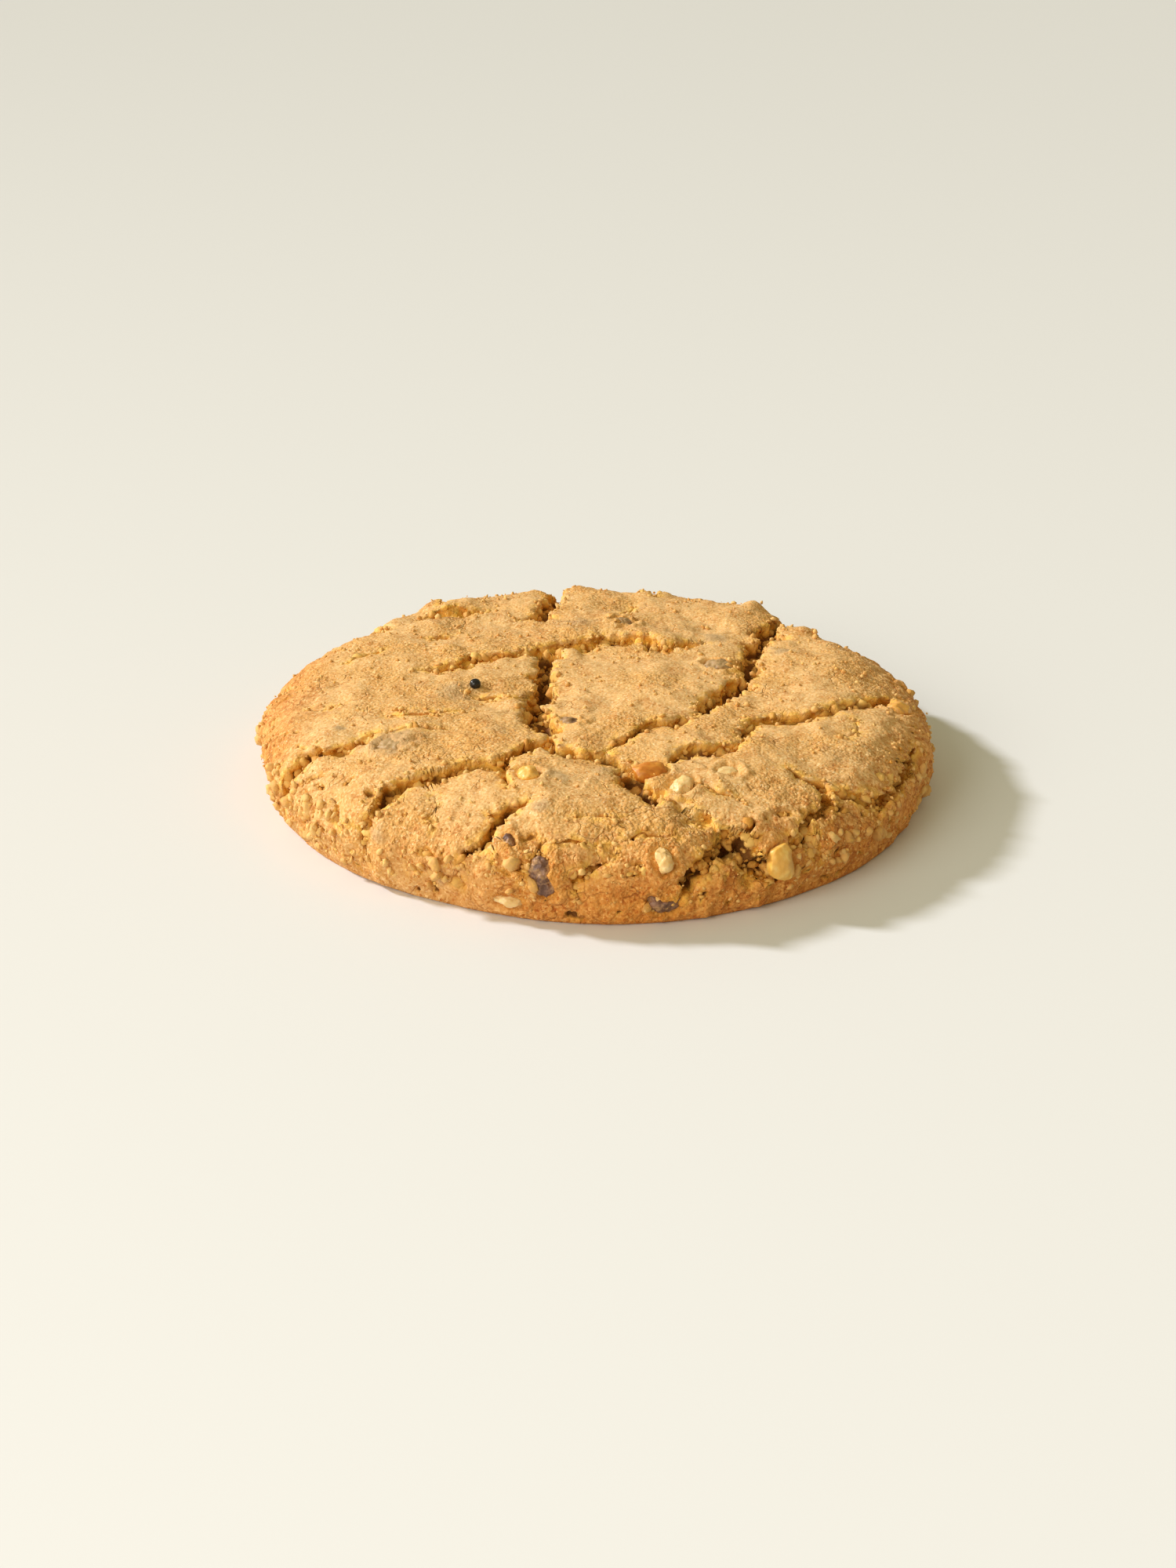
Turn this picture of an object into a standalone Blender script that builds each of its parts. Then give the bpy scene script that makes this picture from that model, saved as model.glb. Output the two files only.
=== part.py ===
"""Oatmeal raisin cookie: a thick round biscuit with a cracked crust, raisins and chopped nuts.

The cookie stands on its flat base at z = 0 and its crown points along +Z. The origin is the middle of
the base.

The skin of the cookie is described as if it were peeled off and laid flat. A place on it is a pair of
lengths: the walk along the profile from the top centre, split into its X and Y parts. Cracks, raisins and
nuts are set out on that flat skin, which then wraps over the crown, round the shoulder and down to the base.
"""

import math

import bmesh
import bpy
import numpy as np
from mathutils import Matrix, Vector, noise

MM = 0.001

# The cookie's own profile.
COOKIE_RADIUS = 45.0 * MM
THICKNESS = 13.0 * MM
CROWN_RISE = 0.5 * MM
SHOULDER_RADIUS = 29.0 * MM
WIDEST_HEIGHT = 5.6 * MM
FOOT_RADIUS = 43.4 * MM

# The outline isn't a true circle: share of the radius, waves round the edge, and where the first one peaks.
OUTLINE_WAVES = [(0.0065, 1, 0.0), (0.010, 2, 3.1), (0.005, 4, 1.1), (0.004, 7, 2.0)]

# Broad unevenness of the crust: height, and the distance from one swell to the next.
SWELLS = [(0.75 * MM, 14.0 * MM), (0.45 * MM, 6.0 * MM)]

# Knobs of dough that stand up from the crust: place on the flat skin, radius and rise, all in mm.
KNOBS = [
    ((-23.7, 33.0), 3.0, 0.9),
    ((-18.6, 32.0), 2.2, 0.6),
    ((-29.3, 25.7), 3.2, 0.7),
    ((-2.8, 38.6), 3.4, 1.0),
    ((-9.6, 38.0), 3.0, 0.7),
    ((8.0, 38.0), 3.6, 0.8),
    ((22.6, 31.8), 2.4, 1.1),
    ((29.6, 23.6), 3.4, 0.9),
    ((-20.5, 10.9), 2.4, 0.8),
    ((-13.3, 7.4), 2.0, 0.6),
    ((-3.2, 10.5), 2.0, 0.6),
    ((-8.9, 2.2), 1.6, 0.6),
    ((-20.3, -45.1), 2.6, 0.5),
    ((-29.9, -41.9), 3.0, 0.4),
]

# How far the crack edges wander from their routes, and over what distance. Then how much their width and
# their depth come and go along the way, as a share and over what distance.
CRACK_WANDER = [(0.7 * MM, 3.6 * MM), (0.35 * MM, 1.5 * MM)]
WIDTH_CHANGE = (0.9, 3.2 * MM)
DEPTH_CHANGE = (1.1, 4.6 * MM)
CHANGE_LIMITS = (0.45, 1.45)

# A crack's end keeps this share of its width, and its walls slope between these shares of its half width.
CRACK_END = 0.25
CRACK_TAPER = 3.0 * MM
WALL_FOOT = 0.3
WALL_TOP = 1.1

# How far a lifted crack edge slopes back, and the band above the base where all relief fades out.
LIFT_REACH = 6.0 * MM
FOOT_BAND = 1.6 * MM
STEADY_FOOT = 0.1 * MM
LIP_ROUNDING = 0.35 * MM
LIP_REACH = 0.9 * MM

# The mesh: cells across the skin, and how near a crack's edge the cells are halved, once for each distance.
SKIN_CELLS = 44
FINE_BANDS = [1.1 * MM, 0.35 * MM]
LEAST_EDGE = 0.7 * MM
SLOPE_STEP = 0.3 * MM

# A raisin or nut lies in a pocket this much larger all round.
POCKET_GAP = 0.35 * MM

# The one small round seed on the crust is part of the cookie's own solid.
SEED = ((-16.2, -2.3), (1.5, 1.5, 1.5), 0.0, 0.80)

CRUST_COLOUR = (0.71, 0.42, 0.16, 1.0)
RAISIN_COLOUR = (0.075, 0.036, 0.026, 1.0)
NUT_COLOUR = (0.80, 0.60, 0.32, 1.0)
ALMOND_COLOUR = (0.46, 0.17, 0.035, 1.0)

# Cracks in the crust: width, depth, how far the crust is lifted on the left of the route, and the route,
# all in mm.
CRACKS = {
    "left_rim": (
        1.7,
        2.2,
        0.7,
        [(-44.5, -23.0), (-39.0, -20.3), (-36.0, -18.5), (-31.5, -19.2), (-28.0, -16.0)],
    ),
    "centre_left": (
        1.7,
        2.3,
        0.8,
        [(-28.6, -35.0), (-25.5, -30.5), (-19.3, -28.2), (-16.0, -26.3), (-12.0, -26.0), (-5.9, -18.9)],
    ),
    "centre_left_spur": (1.6, 3.4, 0.0, [(-11.6, -25.5), (-10.6, -31.8)]),
    "centre_north": (3.4, 3.4, 0.0, [(-5.4, -19.2), (-7.8, -10.5), (-6.6, -2.9), (-6.6, 8.5), (-7.8, 12.5)]),
    "back_middle": (
        2.6,
        2.0,
        0.8,
        [(-7.6, 12.0), (-2.1, 13.2), (1.1, 15.8), (6.7, 14.6), (9.8, 12.6), (15.0, 15.8)],
    ),
    "back_notch": (2.8, 3.6, 0.0, [(-10.6, 24.2), (-7.6, 25.4), (-6.4, 31.5), (-5.2, 45.5)]),
    "back_right": (
        3.0,
        3.4,
        0.5,
        [(13.0, -10.5), (16.2, -3.7), (20.0, 1.6), (20.6, 9.9), (25.2, 23.3), (30.0, 37.0)],
    ),
    "plate_front": (1.1, 1.4, 0.6, [(1.6, -21.6), (4.9, -16.1), (7.5, -12.9), (10.0, -14.2), (13.1, -10.5)]),
    "centre_east": (2.0, 3.0, 1.2, [(-5.9, -19.3), (-4.2, -22.5), (1.9, -23.1), (4.6, -25.5)]),
    "almond_hole": (3.0, 2.8, 0.4, [(3.6, -24.8), (4.6, -29.0), (7.6, -33.0), (9.6, -33.4)]),
    "east_wall": (1.8, 2.6, 1.4, [(8.9, -25.0), (10.4, -21.9), (13.9, -21.4), (18.8, -18.6)]),
    "right_long": (1.5, 1.9, 0.8, [(18.5, -18.8), (20.4, -10.5), (28.7, -8.7), (35.6, -3.3), (41.0, 2.5)]),
    "lower_left": (1.6, 2.9, 0.6, [(-17.4, -44.6), (-12.6, -40.6), (-12.2, -38.0), (-7.5, -34.6)]),
    "front_cleft": (2.4, 3.0, 0.0, [(11.2, -49.2), (13.0, -44.9), (16.0, -38.8)]),
    "front_cavity": (5.0, 4.4, 1.5, [(13.6, -41.6), (17.0, -41.0), (20.6, -42.0), (23.6, -43.4)]),
    "front_cavity_right": (3.0, 3.0, 1.0, [(24.4, -38.6), (26.7, -37.6), (30.2, -38.0)]),
    "right_lower": (1.8, 2.0, 0.0, [(24.0, -24.7), (28.0, -27.0), (28.9, -31.2), (24.1, -37.4)]),
    "right_cross": (
        2.2,
        2.8,
        0.8,
        [(29.2, -27.8), (34.7, -27.6), (39.6, -22.4), (41.6, -15.4), (43.2, -9.8)],
    ),
    "back_left": (1.7, 1.4, 0.9, [(-24.6, 3.2), (-20.0, 4.2), (-17.5, 7.4), (-7.5, 10.9)]),
    "back_step": (2.2, 1.5, 1.2, [(-26.0, 25.5), (-20.7, 27.5), (-15.0, 27.0)]),
    "back_dimple": (2.2, 1.6, 0.6, [(-24.2, 16.4), (-20.0, 17.6)]),
    "left_wedge": (1.6, 1.2, 0.4, [(-34.4, 8.2), (-30.2, 12.4)]),
    "front_spur": (1.1, 1.7, 0.0, [(-1.7, -50.0), (-1.7, -46.4), (2.2, -44.0)]),
}

# The side away from view has short cracks of the same kind, set out by rule round the edge.
HIDDEN_CRACKS = 6
HIDDEN_ARC = (35.0, 145.0)
HIDDEN_LENGTH = 10.0
HIDDEN_START = 38.5

# Raisins and nuts: place on the flat skin in mm, size in mm along it, across it and through it, turn in
# degrees, and how much of the size through it stands proud of the crust.
RAISINS = {
    "raisin_front": ((-6.2, -46.5), (3.8, 5.6, 3.2), 16.0, 0.17),
    "raisin_foot": ((9.5, -49.6), (5.2, 3.2, 3.2), 0.0, 0.24),
    "raisin_side": ((-10.2, -41.6), (1.7, 3.6, 1.6), 12.0, 0.14),
    "raisin_left": ((-25.2, -19.6), (6.6, 6.2, 4.0), 10.0, 0.15),
    "raisin_centre": ((-3.4, -13.4), (4.4, 3.0, 2.8), -25.0, 0.22),
    "raisin_back": ((3.4, 21.0), (4.4, 4.0, 3.0), 0.0, 0.22),
    "raisin_back_right": ((16.6, 7.2), (5.2, 4.4, 3.4), -10.0, 0.22),
}
NUTS = {
    "nut_lump": ((10.6, -30.2), (3.6, 4.0, 3.0), 0.0, 0.34),
    "nut_flake": ((16.6, -26.4), (3.8, 3.4, 1.8), -15.0, 0.16),
    "nut_chip": ((8.4, -43.7), (2.7, 3.8, 2.4), 12.0, 0.50),
    "nut_half": ((23.4, -41.0), (4.2, 5.2, 2.0), 20.0, 0.60),
    "nut_nugget": ((-8.0, -29.2), (3.2, 3.6, 2.6), 0.0, 0.30),
    "nut_foot": ((-11.4, -49.6), (4.8, 1.8, 2.0), 5.0, 0.30),
    "nut_rim": ((41.0, -1.4), (4.0, 3.6, 3.0), 0.0, 0.36),
}
ALMOND = ((6.8, -26.4), (5.8, 3.4, 2.6), 8.0, 0.42)

# A raisin is drawn in from its full size, with folds along it and dents between them.
RAISIN_FULLNESS = 0.87
RAISIN_FOLDS = 5.0
RAISIN_FOLD_DEPTH = 0.07
RAISIN_DENT_DEPTH = 0.06
RAISIN_DENT_SIZE = 1.1 * MM

# A chopped piece is cut flat on some sides, each at this share of its reach.
NUT_CUTS = 4
NUT_CUT_REACH = 0.78
NUT_CUT_FLATNESS = 0.92


def clear_scene():
    for old in list(bpy.data.objects):
        bpy.data.objects.remove(old, do_unlink=True)


def finish(name, colour, roughness):
    material = bpy.data.materials.new(name)
    material.use_nodes = True
    shader = material.node_tree.nodes["Principled BSDF"]
    shader.inputs["Base Color"].default_value = colour
    shader.inputs["Roughness"].default_value = roughness
    shader.inputs["Metallic"].default_value = 0.0
    return material


def smooth_step(low, high, value):
    t = np.clip((value - low) / (high - low), 0.0, 1.0)
    return t * t * (3.0 - 2.0 * t)


def skin_profile():
    """Walk, radius and height along the profile: a low crown, a round shoulder and a foot that tucks in."""
    crown = np.linspace(0.0, SHOULDER_RADIUS, 40)
    crown_height = THICKNESS - CROWN_RISE * (crown / SHOULDER_RADIUS) ** 2
    turn = np.linspace(0.0, math.pi / 2, 60)[1:]
    shoulder = SHOULDER_RADIUS + (COOKIE_RADIUS - SHOULDER_RADIUS) * np.sin(turn)
    shoulder_height = WIDEST_HEIGHT + (crown_height[-1] - WIDEST_HEIGHT) * np.cos(turn)
    foot = COOKIE_RADIUS - (COOKIE_RADIUS - FOOT_RADIUS) * (1.0 - np.cos(turn))
    foot_height = WIDEST_HEIGHT * (1.0 - np.sin(turn))
    radius = np.concatenate([crown, shoulder, foot])
    height = np.concatenate([crown_height, shoulder_height, foot_height])
    steps = np.hypot(np.diff(radius), np.diff(height))
    return np.concatenate([[0.0], np.cumsum(steps)]), radius, height


WALK, RADIUS, HEIGHT = skin_profile()
SKIN_REACH = WALK[-1]
FAR_AWAY = 10.0 * SKIN_REACH


def outline(azimuth):
    """The radius at an azimuth, as a share of the mean radius."""
    share = np.ones_like(azimuth)
    for amount, waves, peak in OUTLINE_WAVES:
        share += amount * np.cos(waves * azimuth - peak)
    return share


def wrap(places):
    """Points and outward normals of the even cookie for places on the flat skin."""
    walk = np.hypot(places[:, 0], places[:, 1])
    azimuth = np.arctan2(places[:, 1], places[:, 0])
    radius = np.interp(walk, WALK, RADIUS) * outline(azimuth)
    height = np.interp(walk, WALK, HEIGHT)
    before = np.maximum(walk - SLOPE_STEP, 0.0)
    after = np.minimum(walk + SLOPE_STEP, SKIN_REACH)
    run = np.interp(after, WALK, RADIUS) - np.interp(before, WALK, RADIUS)
    fall = np.interp(before, WALK, HEIGHT) - np.interp(after, WALK, HEIGHT)
    length = np.hypot(run, fall)
    outward, upward = fall / length, run / length
    points = np.stack([radius * np.cos(azimuth), radius * np.sin(azimuth), height], 1)
    normals = np.stack([outward * np.cos(azimuth), outward * np.sin(azimuth), upward], 1)
    return points, normals


def swell(places, spacing, layer):
    """Smooth noise over the flat skin, about -1 to 1. Each layer has its own pattern."""
    return np.array([noise.noise(Vector((x / spacing, y / spacing, 7.3 * layer))) for x, y in places])


def hidden_cracks():
    """Short bent cracks round the far edge."""
    made = {}
    for i in range(HIDDEN_CRACKS):
        share = i / (HIDDEN_CRACKS - 1)
        start = math.radians(HIDDEN_ARC[0] + share * (HIDDEN_ARC[1] - HIDDEN_ARC[0]))
        route = []
        for step in range(4):
            walk = HIDDEN_START + HIDDEN_LENGTH * step / 3 + 2.5 * math.sin(2.4 * i)
            bend = start + 0.06 * math.sin(1.9 * i + 2.2 * step)
            route.append((walk * math.cos(bend), walk * math.sin(bend)))
        made[f"hidden_{i}"] = (1.6 + 0.5 * (i % 3), 1.8 + 0.4 * (i % 2), 0.0, route)
    return made


def along_route(places, route):
    """For each place: distance to the route, distance to its nearer end, and whether it lies on the left."""
    nearest = np.full(len(places), FAR_AWAY)
    walked = np.zeros(len(places))
    left = np.zeros(len(places))
    passed = 0.0
    for start, end in zip(route[:-1], route[1:]):
        run = end - start
        length = np.linalg.norm(run)
        share = np.clip((places - start) @ run / length**2, 0.0, 1.0)
        across = places - (start + share[:, None] * run)
        distance = np.linalg.norm(across, axis=1)
        side = run[0] * across[:, 1] - run[1] * across[:, 0]
        closer = distance < nearest
        nearest[closer] = distance[closer]
        walked[closer] = passed + share[closer] * length
        left[closer] = np.sign(side[closer])
        passed += length
    return nearest, np.minimum(walked, passed - walked), left


def relief(places):
    """Height of the crust over the even cookie, depth of its cracks, and distance to the nearest edge."""
    height = np.zeros(len(places))
    for layer, (amount, spacing) in enumerate(SWELLS):
        height += amount * swell(places, spacing, layer)
    wandered = places.copy()
    for layer, (amount, spacing) in enumerate(CRACK_WANDER):
        wandered[:, 0] += amount * swell(places, spacing, 10 + layer)
        wandered[:, 1] += amount * swell(places, spacing, 20 + layer)
    for (x, y), radius, rise in KNOBS:
        distance = np.hypot(places[:, 0] - x * MM, places[:, 1] - y * MM)
        height += rise * MM * np.exp(-2.0 * (distance / (radius * MM)) ** 2)
    wider = np.clip(1.0 + WIDTH_CHANGE[0] * swell(places, WIDTH_CHANGE[1], 60), *CHANGE_LIMITS)
    deeper = np.clip(1.0 + DEPTH_CHANGE[0] * swell(places, DEPTH_CHANGE[1], 70), *CHANGE_LIMITS)
    cut = np.zeros(len(places))
    edge = np.full(len(places), FAR_AWAY)
    for width, depth, lift, route in {**CRACKS, **hidden_cracks()}.values():
        distance, from_end, left = along_route(wandered, np.array(route) * MM)
        taper = CRACK_END + (1.0 - CRACK_END) * smooth_step(0.0, CRACK_TAPER, from_end)
        half = 0.5 * width * MM * taper * wider
        slope = 1.0 - smooth_step(WALL_FOOT, WALL_TOP, distance / half)
        cut = np.maximum(cut, depth * MM * taper * deeper * slope)
        edge = np.minimum(edge, distance - half)
        fade = np.exp(-distance / LIFT_REACH) * smooth_step(0.0, 2 * CRACK_TAPER, from_end)
        height += 0.5 * lift * MM * left * fade
    height -= LIP_ROUNDING * np.exp(-np.maximum(edge, 0.0) / LIP_REACH)
    walk = np.hypot(places[:, 0], places[:, 1])
    standing = 1.0 - smooth_step(SKIN_REACH - FOOT_BAND, SKIN_REACH - STEADY_FOOT, walk)
    return height * standing, cut * standing, edge


def square_to_disc(u, v):
    """Maps the square from -1 to 1 onto the unit disc, keeping the cells' areas alike."""
    wide = np.abs(u) > np.abs(v)
    radius = np.where(wide, u, v)
    other = np.where(wide, v, u)
    safe = np.where(np.abs(radius) < 1e-12, 1.0, radius)
    turn = np.where(wide, math.pi / 4 * other / safe, math.pi / 2 - math.pi / 4 * other / safe)
    return radius * np.cos(turn), radius * np.sin(turn)


def flat_skin():
    """The skin laid flat, as a bmesh disc with finer cells beside the cracks."""
    bm = bmesh.new()
    bmesh.ops.create_grid(bm, x_segments=SKIN_CELLS, y_segments=SKIN_CELLS, size=1.0)
    corners = np.array([v.co[:2] for v in bm.verts])
    x, y = square_to_disc(corners[:, 0], corners[:, 1])
    for vert, px, py in zip(bm.verts, x, y):
        vert.co = (px * SKIN_REACH, py * SKIN_REACH, 0.0)
    for band in FINE_BANDS:
        bm.edges.ensure_lookup_table()
        middles = np.array([((e.verts[0].co + e.verts[1].co) / 2)[:2] for e in bm.edges])
        lengths = np.array([e.calc_length() for e in bm.edges])
        edge = np.abs(relief(middles)[2])
        inside = np.hypot(middles[:, 0], middles[:, 1]) < SKIN_REACH - FOOT_BAND
        near = np.flatnonzero((edge < band) & inside & (lengths > LEAST_EDGE))
        bmesh.ops.subdivide_edges(bm, edges=[bm.edges[i] for i in near], cuts=1, use_grid_fill=True)
    return bm


def dough():
    """The cookie itself: the flat skin wrapped over the profile, and closed by a flat base."""
    bm = flat_skin()
    rim = [e for e in bm.edges if e.is_boundary]
    base = bmesh.ops.contextual_create(bm, geom=rim)["faces"]
    places = np.array([v.co[:2] for v in bm.verts])
    points, normals = wrap(places)
    height, cut, _ = relief(places)
    points += normals * (height - cut)[:, None]
    for vert, point in zip(bm.verts, points):
        vert.co = point
    for vert in base[0].verts:
        vert.co.z = 0.0
    bmesh.ops.triangulate(bm, faces=bm.faces[:])
    bmesh.ops.recalc_face_normals(bm, faces=bm.faces[:])
    return bm


def seat(place, size, turn, proud):
    """Where an inclusion lies: a matrix with Z out of the crust, sunk so that a share stands proud."""
    flat = np.array([place]) * MM
    points, normals = wrap(flat)
    whole, _, _ = relief(flat)
    out = Vector(normals[0]).normalized()
    along = (Vector((1, 0, 0)) - out * out.x).normalized()
    across = out.cross(along)
    centre = Vector(points[0]) + out * (whole[0] + (proud - 0.5) * size[2] * MM)
    axes = Matrix((along, across, out)).transposed().to_4x4()
    return Matrix.Translation(centre) @ axes @ Matrix.Rotation(math.radians(turn), 4, "Z")


def ball(size, detail, extra=0.0):
    """An ellipsoid of a size in mm, grown by an extra length all round."""
    bm = bmesh.new()
    bmesh.ops.create_icosphere(bm, subdivisions=detail, radius=1.0)
    for vert in bm.verts:
        vert.co = Vector([c * (s * MM / 2 + extra) for c, s in zip(vert.co, size)])
    return bm


def raisin(size, index):
    """A dried grape: an ellipsoid with folds that run along it and dents between them."""
    bm = ball(size, 3)
    for vert in bm.verts:
        turn = math.atan2(vert.co.z, vert.co.y)
        fold = RAISIN_FOLD_DEPTH * math.sin(RAISIN_FOLDS * turn + 1.3 * index + 260.0 * vert.co.x)
        dent = RAISIN_DENT_DEPTH * noise.noise(vert.co / RAISIN_DENT_SIZE + Vector((index, 0.0, 0.0)))
        vert.co *= RAISIN_FULLNESS + fold + dent
    return bm


def nut(size, index):
    """A chopped piece: an ellipsoid with a few flat faces where the knife went through."""
    bm = ball(size, 2)
    for cut in range(NUT_CUTS):
        angle = 1.7 * cut + 0.9 * index
        plane = Vector((math.cos(angle), math.sin(angle), 0.55 * math.sin(2.3 * cut + index))).normalized()
        reach = max(vert.co.dot(plane) for vert in bm.verts) * NUT_CUT_REACH
        for vert in bm.verts:
            over = vert.co.dot(plane) - reach
            if over > 0:
                vert.co -= plane * over * NUT_CUT_FLATNESS
    return bm


def place_mesh(name, bm, matrix, material):
    """Makes an object from a bmesh, with its origin at its seat."""
    mesh = bpy.data.meshes.new(name)
    bm.to_mesh(mesh)
    bm.free()
    mesh.shade_smooth()
    thing = bpy.data.objects.new(name, mesh)
    thing.matrix_world = matrix
    if material:
        mesh.materials.append(material)
    bpy.context.scene.collection.objects.link(thing)
    return thing


def boolean(cookie, things, operation, name):
    """One Boolean on a collection of things, applied, with the things then removed."""
    group = bpy.data.collections.new(name)
    for thing in things:
        group.objects.link(thing)
        thing.hide_render = True
        thing.display_type = "WIRE"
    modifier = cookie.modifiers.new(name, "BOOLEAN")
    modifier.operation = operation
    modifier.operand_type = "COLLECTION"
    modifier.collection = group
    modifier.solver = "EXACT"
    bpy.context.view_layer.update()
    bpy.context.view_layer.objects.active = cookie
    bpy.ops.object.modifier_apply(modifier=name)
    for thing in things:
        bpy.data.objects.remove(thing, do_unlink=True)
    bpy.data.collections.remove(group)


def build():
    clear_scene()
    crust = finish("crust", CRUST_COLOUR, 0.85)
    cookie = place_mesh("cookie", dough(), Matrix.Identity(4), crust)
    raisin_skin = finish("raisin", RAISIN_COLOUR, 0.6)
    nut_flesh = finish("nut", NUT_COLOUR, 0.55)
    almond_skin = finish("almond_skin", ALMOND_COLOUR, 0.5)
    pockets = []
    for index, (name, (place, size, turn, proud)) in enumerate(RAISINS.items()):
        matrix = seat(place, size, turn, proud)
        place_mesh(name, raisin(size, index), matrix, raisin_skin)
        pockets.append(place_mesh(name + "_pocket", ball(size, 2, POCKET_GAP), matrix, None))
    chopped = {name: (nut_flesh, spec) for name, spec in NUTS.items()}
    chopped["almond_chunk"] = (almond_skin, ALMOND)
    for index, (name, (flesh, (place, size, turn, proud))) in enumerate(chopped.items()):
        matrix = seat(place, size, turn, proud)
        place_mesh(name, nut(size, index), matrix, flesh)
        pockets.append(place_mesh(name + "_pocket", ball(size, 2, POCKET_GAP), matrix, None))
    boolean(cookie, pockets, "DIFFERENCE", "pockets")
    seed_place, seed_size, seed_turn, seed_proud = SEED
    seed = place_mesh("seed", ball(seed_size, 2), seat(seed_place, seed_size, seed_turn, seed_proud), None)
    boolean(cookie, [seed], "UNION", "seed_join")


build()
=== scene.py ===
"""Looks of the oatmeal raisin cookie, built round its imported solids.

Everything is in metres, with the cookie's flat base on z = 0 and its crown up.
"""

import math

import bmesh
import bpy
import numpy as np
from mathutils import Euler, Matrix, Vector, noise
from mathutils.bvhtree import BVHTree


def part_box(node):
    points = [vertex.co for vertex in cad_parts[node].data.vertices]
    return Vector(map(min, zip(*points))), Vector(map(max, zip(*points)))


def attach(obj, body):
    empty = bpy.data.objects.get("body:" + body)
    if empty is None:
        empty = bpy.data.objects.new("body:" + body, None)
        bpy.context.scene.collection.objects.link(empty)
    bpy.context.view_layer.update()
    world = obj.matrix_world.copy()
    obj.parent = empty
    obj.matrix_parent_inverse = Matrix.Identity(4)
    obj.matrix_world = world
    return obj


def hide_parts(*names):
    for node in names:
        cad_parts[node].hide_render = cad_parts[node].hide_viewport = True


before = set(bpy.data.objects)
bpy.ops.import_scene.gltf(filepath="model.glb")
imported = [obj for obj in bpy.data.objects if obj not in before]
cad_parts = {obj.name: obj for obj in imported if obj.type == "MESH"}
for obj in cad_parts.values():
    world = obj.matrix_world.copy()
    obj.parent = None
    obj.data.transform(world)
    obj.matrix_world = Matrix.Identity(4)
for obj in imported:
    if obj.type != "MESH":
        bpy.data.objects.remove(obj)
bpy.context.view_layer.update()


# The dough: oats, flour, butter and sugar baked to a sandy golden crust that has split into plates.
# Its skin is laid flat as a fine grid, cracked there, and wrapped over the cookie's profile, as in the
# solid. A place on the flat skin is the walk along the profile from the top centre, split into X and Y.
MM = 0.001
COOKIE_RADIUS = 45.0 * MM
THICKNESS = 13.0 * MM
CROWN_RISE = 0.5 * MM
SHOULDER_RADIUS = 29.0 * MM
WIDEST_HEIGHT = 5.6 * MM
FOOT_RADIUS = 43.4 * MM
OUTLINE_WAVES = [(0.0065, 1, 0.0), (0.010, 2, 3.1), (0.005, 4, 1.1), (0.004, 7, 2.0)]
SWELLS = [(0.75 * MM, 14.0 * MM), (0.45 * MM, 6.0 * MM)]

# Knobs of dough that stand up from the crust: place on the flat skin, radius and rise, all in mm.
KNOBS = [
    ((-23.7, 33.0), 3.0, 0.9),
    ((-18.6, 32.0), 2.2, 0.6),
    ((-29.3, 25.7), 3.2, 0.7),
    ((-2.8, 38.6), 3.4, 1.0),
    ((-9.6, 38.0), 3.0, 0.7),
    ((8.0, 38.0), 3.6, 0.8),
    ((22.6, 31.8), 2.4, 1.1),
    ((29.6, 23.6), 3.4, 0.9),
    ((-20.5, 10.9), 2.4, 0.8),
    ((-13.3, 7.4), 2.0, 0.6),
    ((-3.2, 10.5), 2.0, 0.6),
    ((-8.9, 2.2), 1.6, 0.6),
    ((-20.3, -45.1), 2.6, 0.5),
    ((-29.9, -41.9), 3.0, 0.4),
]

# How far the crack edges wander, and how much their width and depth come and go along the way.
# A wall runs from its foot to its top, both given as shares of half the crack's width.
CRACK_WANDER = [(0.7 * MM, 3.6 * MM), (0.35 * MM, 1.5 * MM)]
WIDTH_CHANGE = [(0.9, 3.2 * MM), (0.45, 1.2 * MM)]
DEPTH_CHANGE = (1.1, 4.6 * MM)
CHANGE_LIMITS = (0.45, 1.45)
CRACK_END = 0.25
CRACK_TAPER = 3.0 * MM
WALL_FOOT = 0.45
WALL_TOP = 1.05
LIFT_REACH = 6.0 * MM
FOOT_BAND = 1.6 * MM
STEADY_FOOT = 0.1 * MM
LIP_ROUNDING = 0.35 * MM
LIP_REACH = 0.9 * MM

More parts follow.
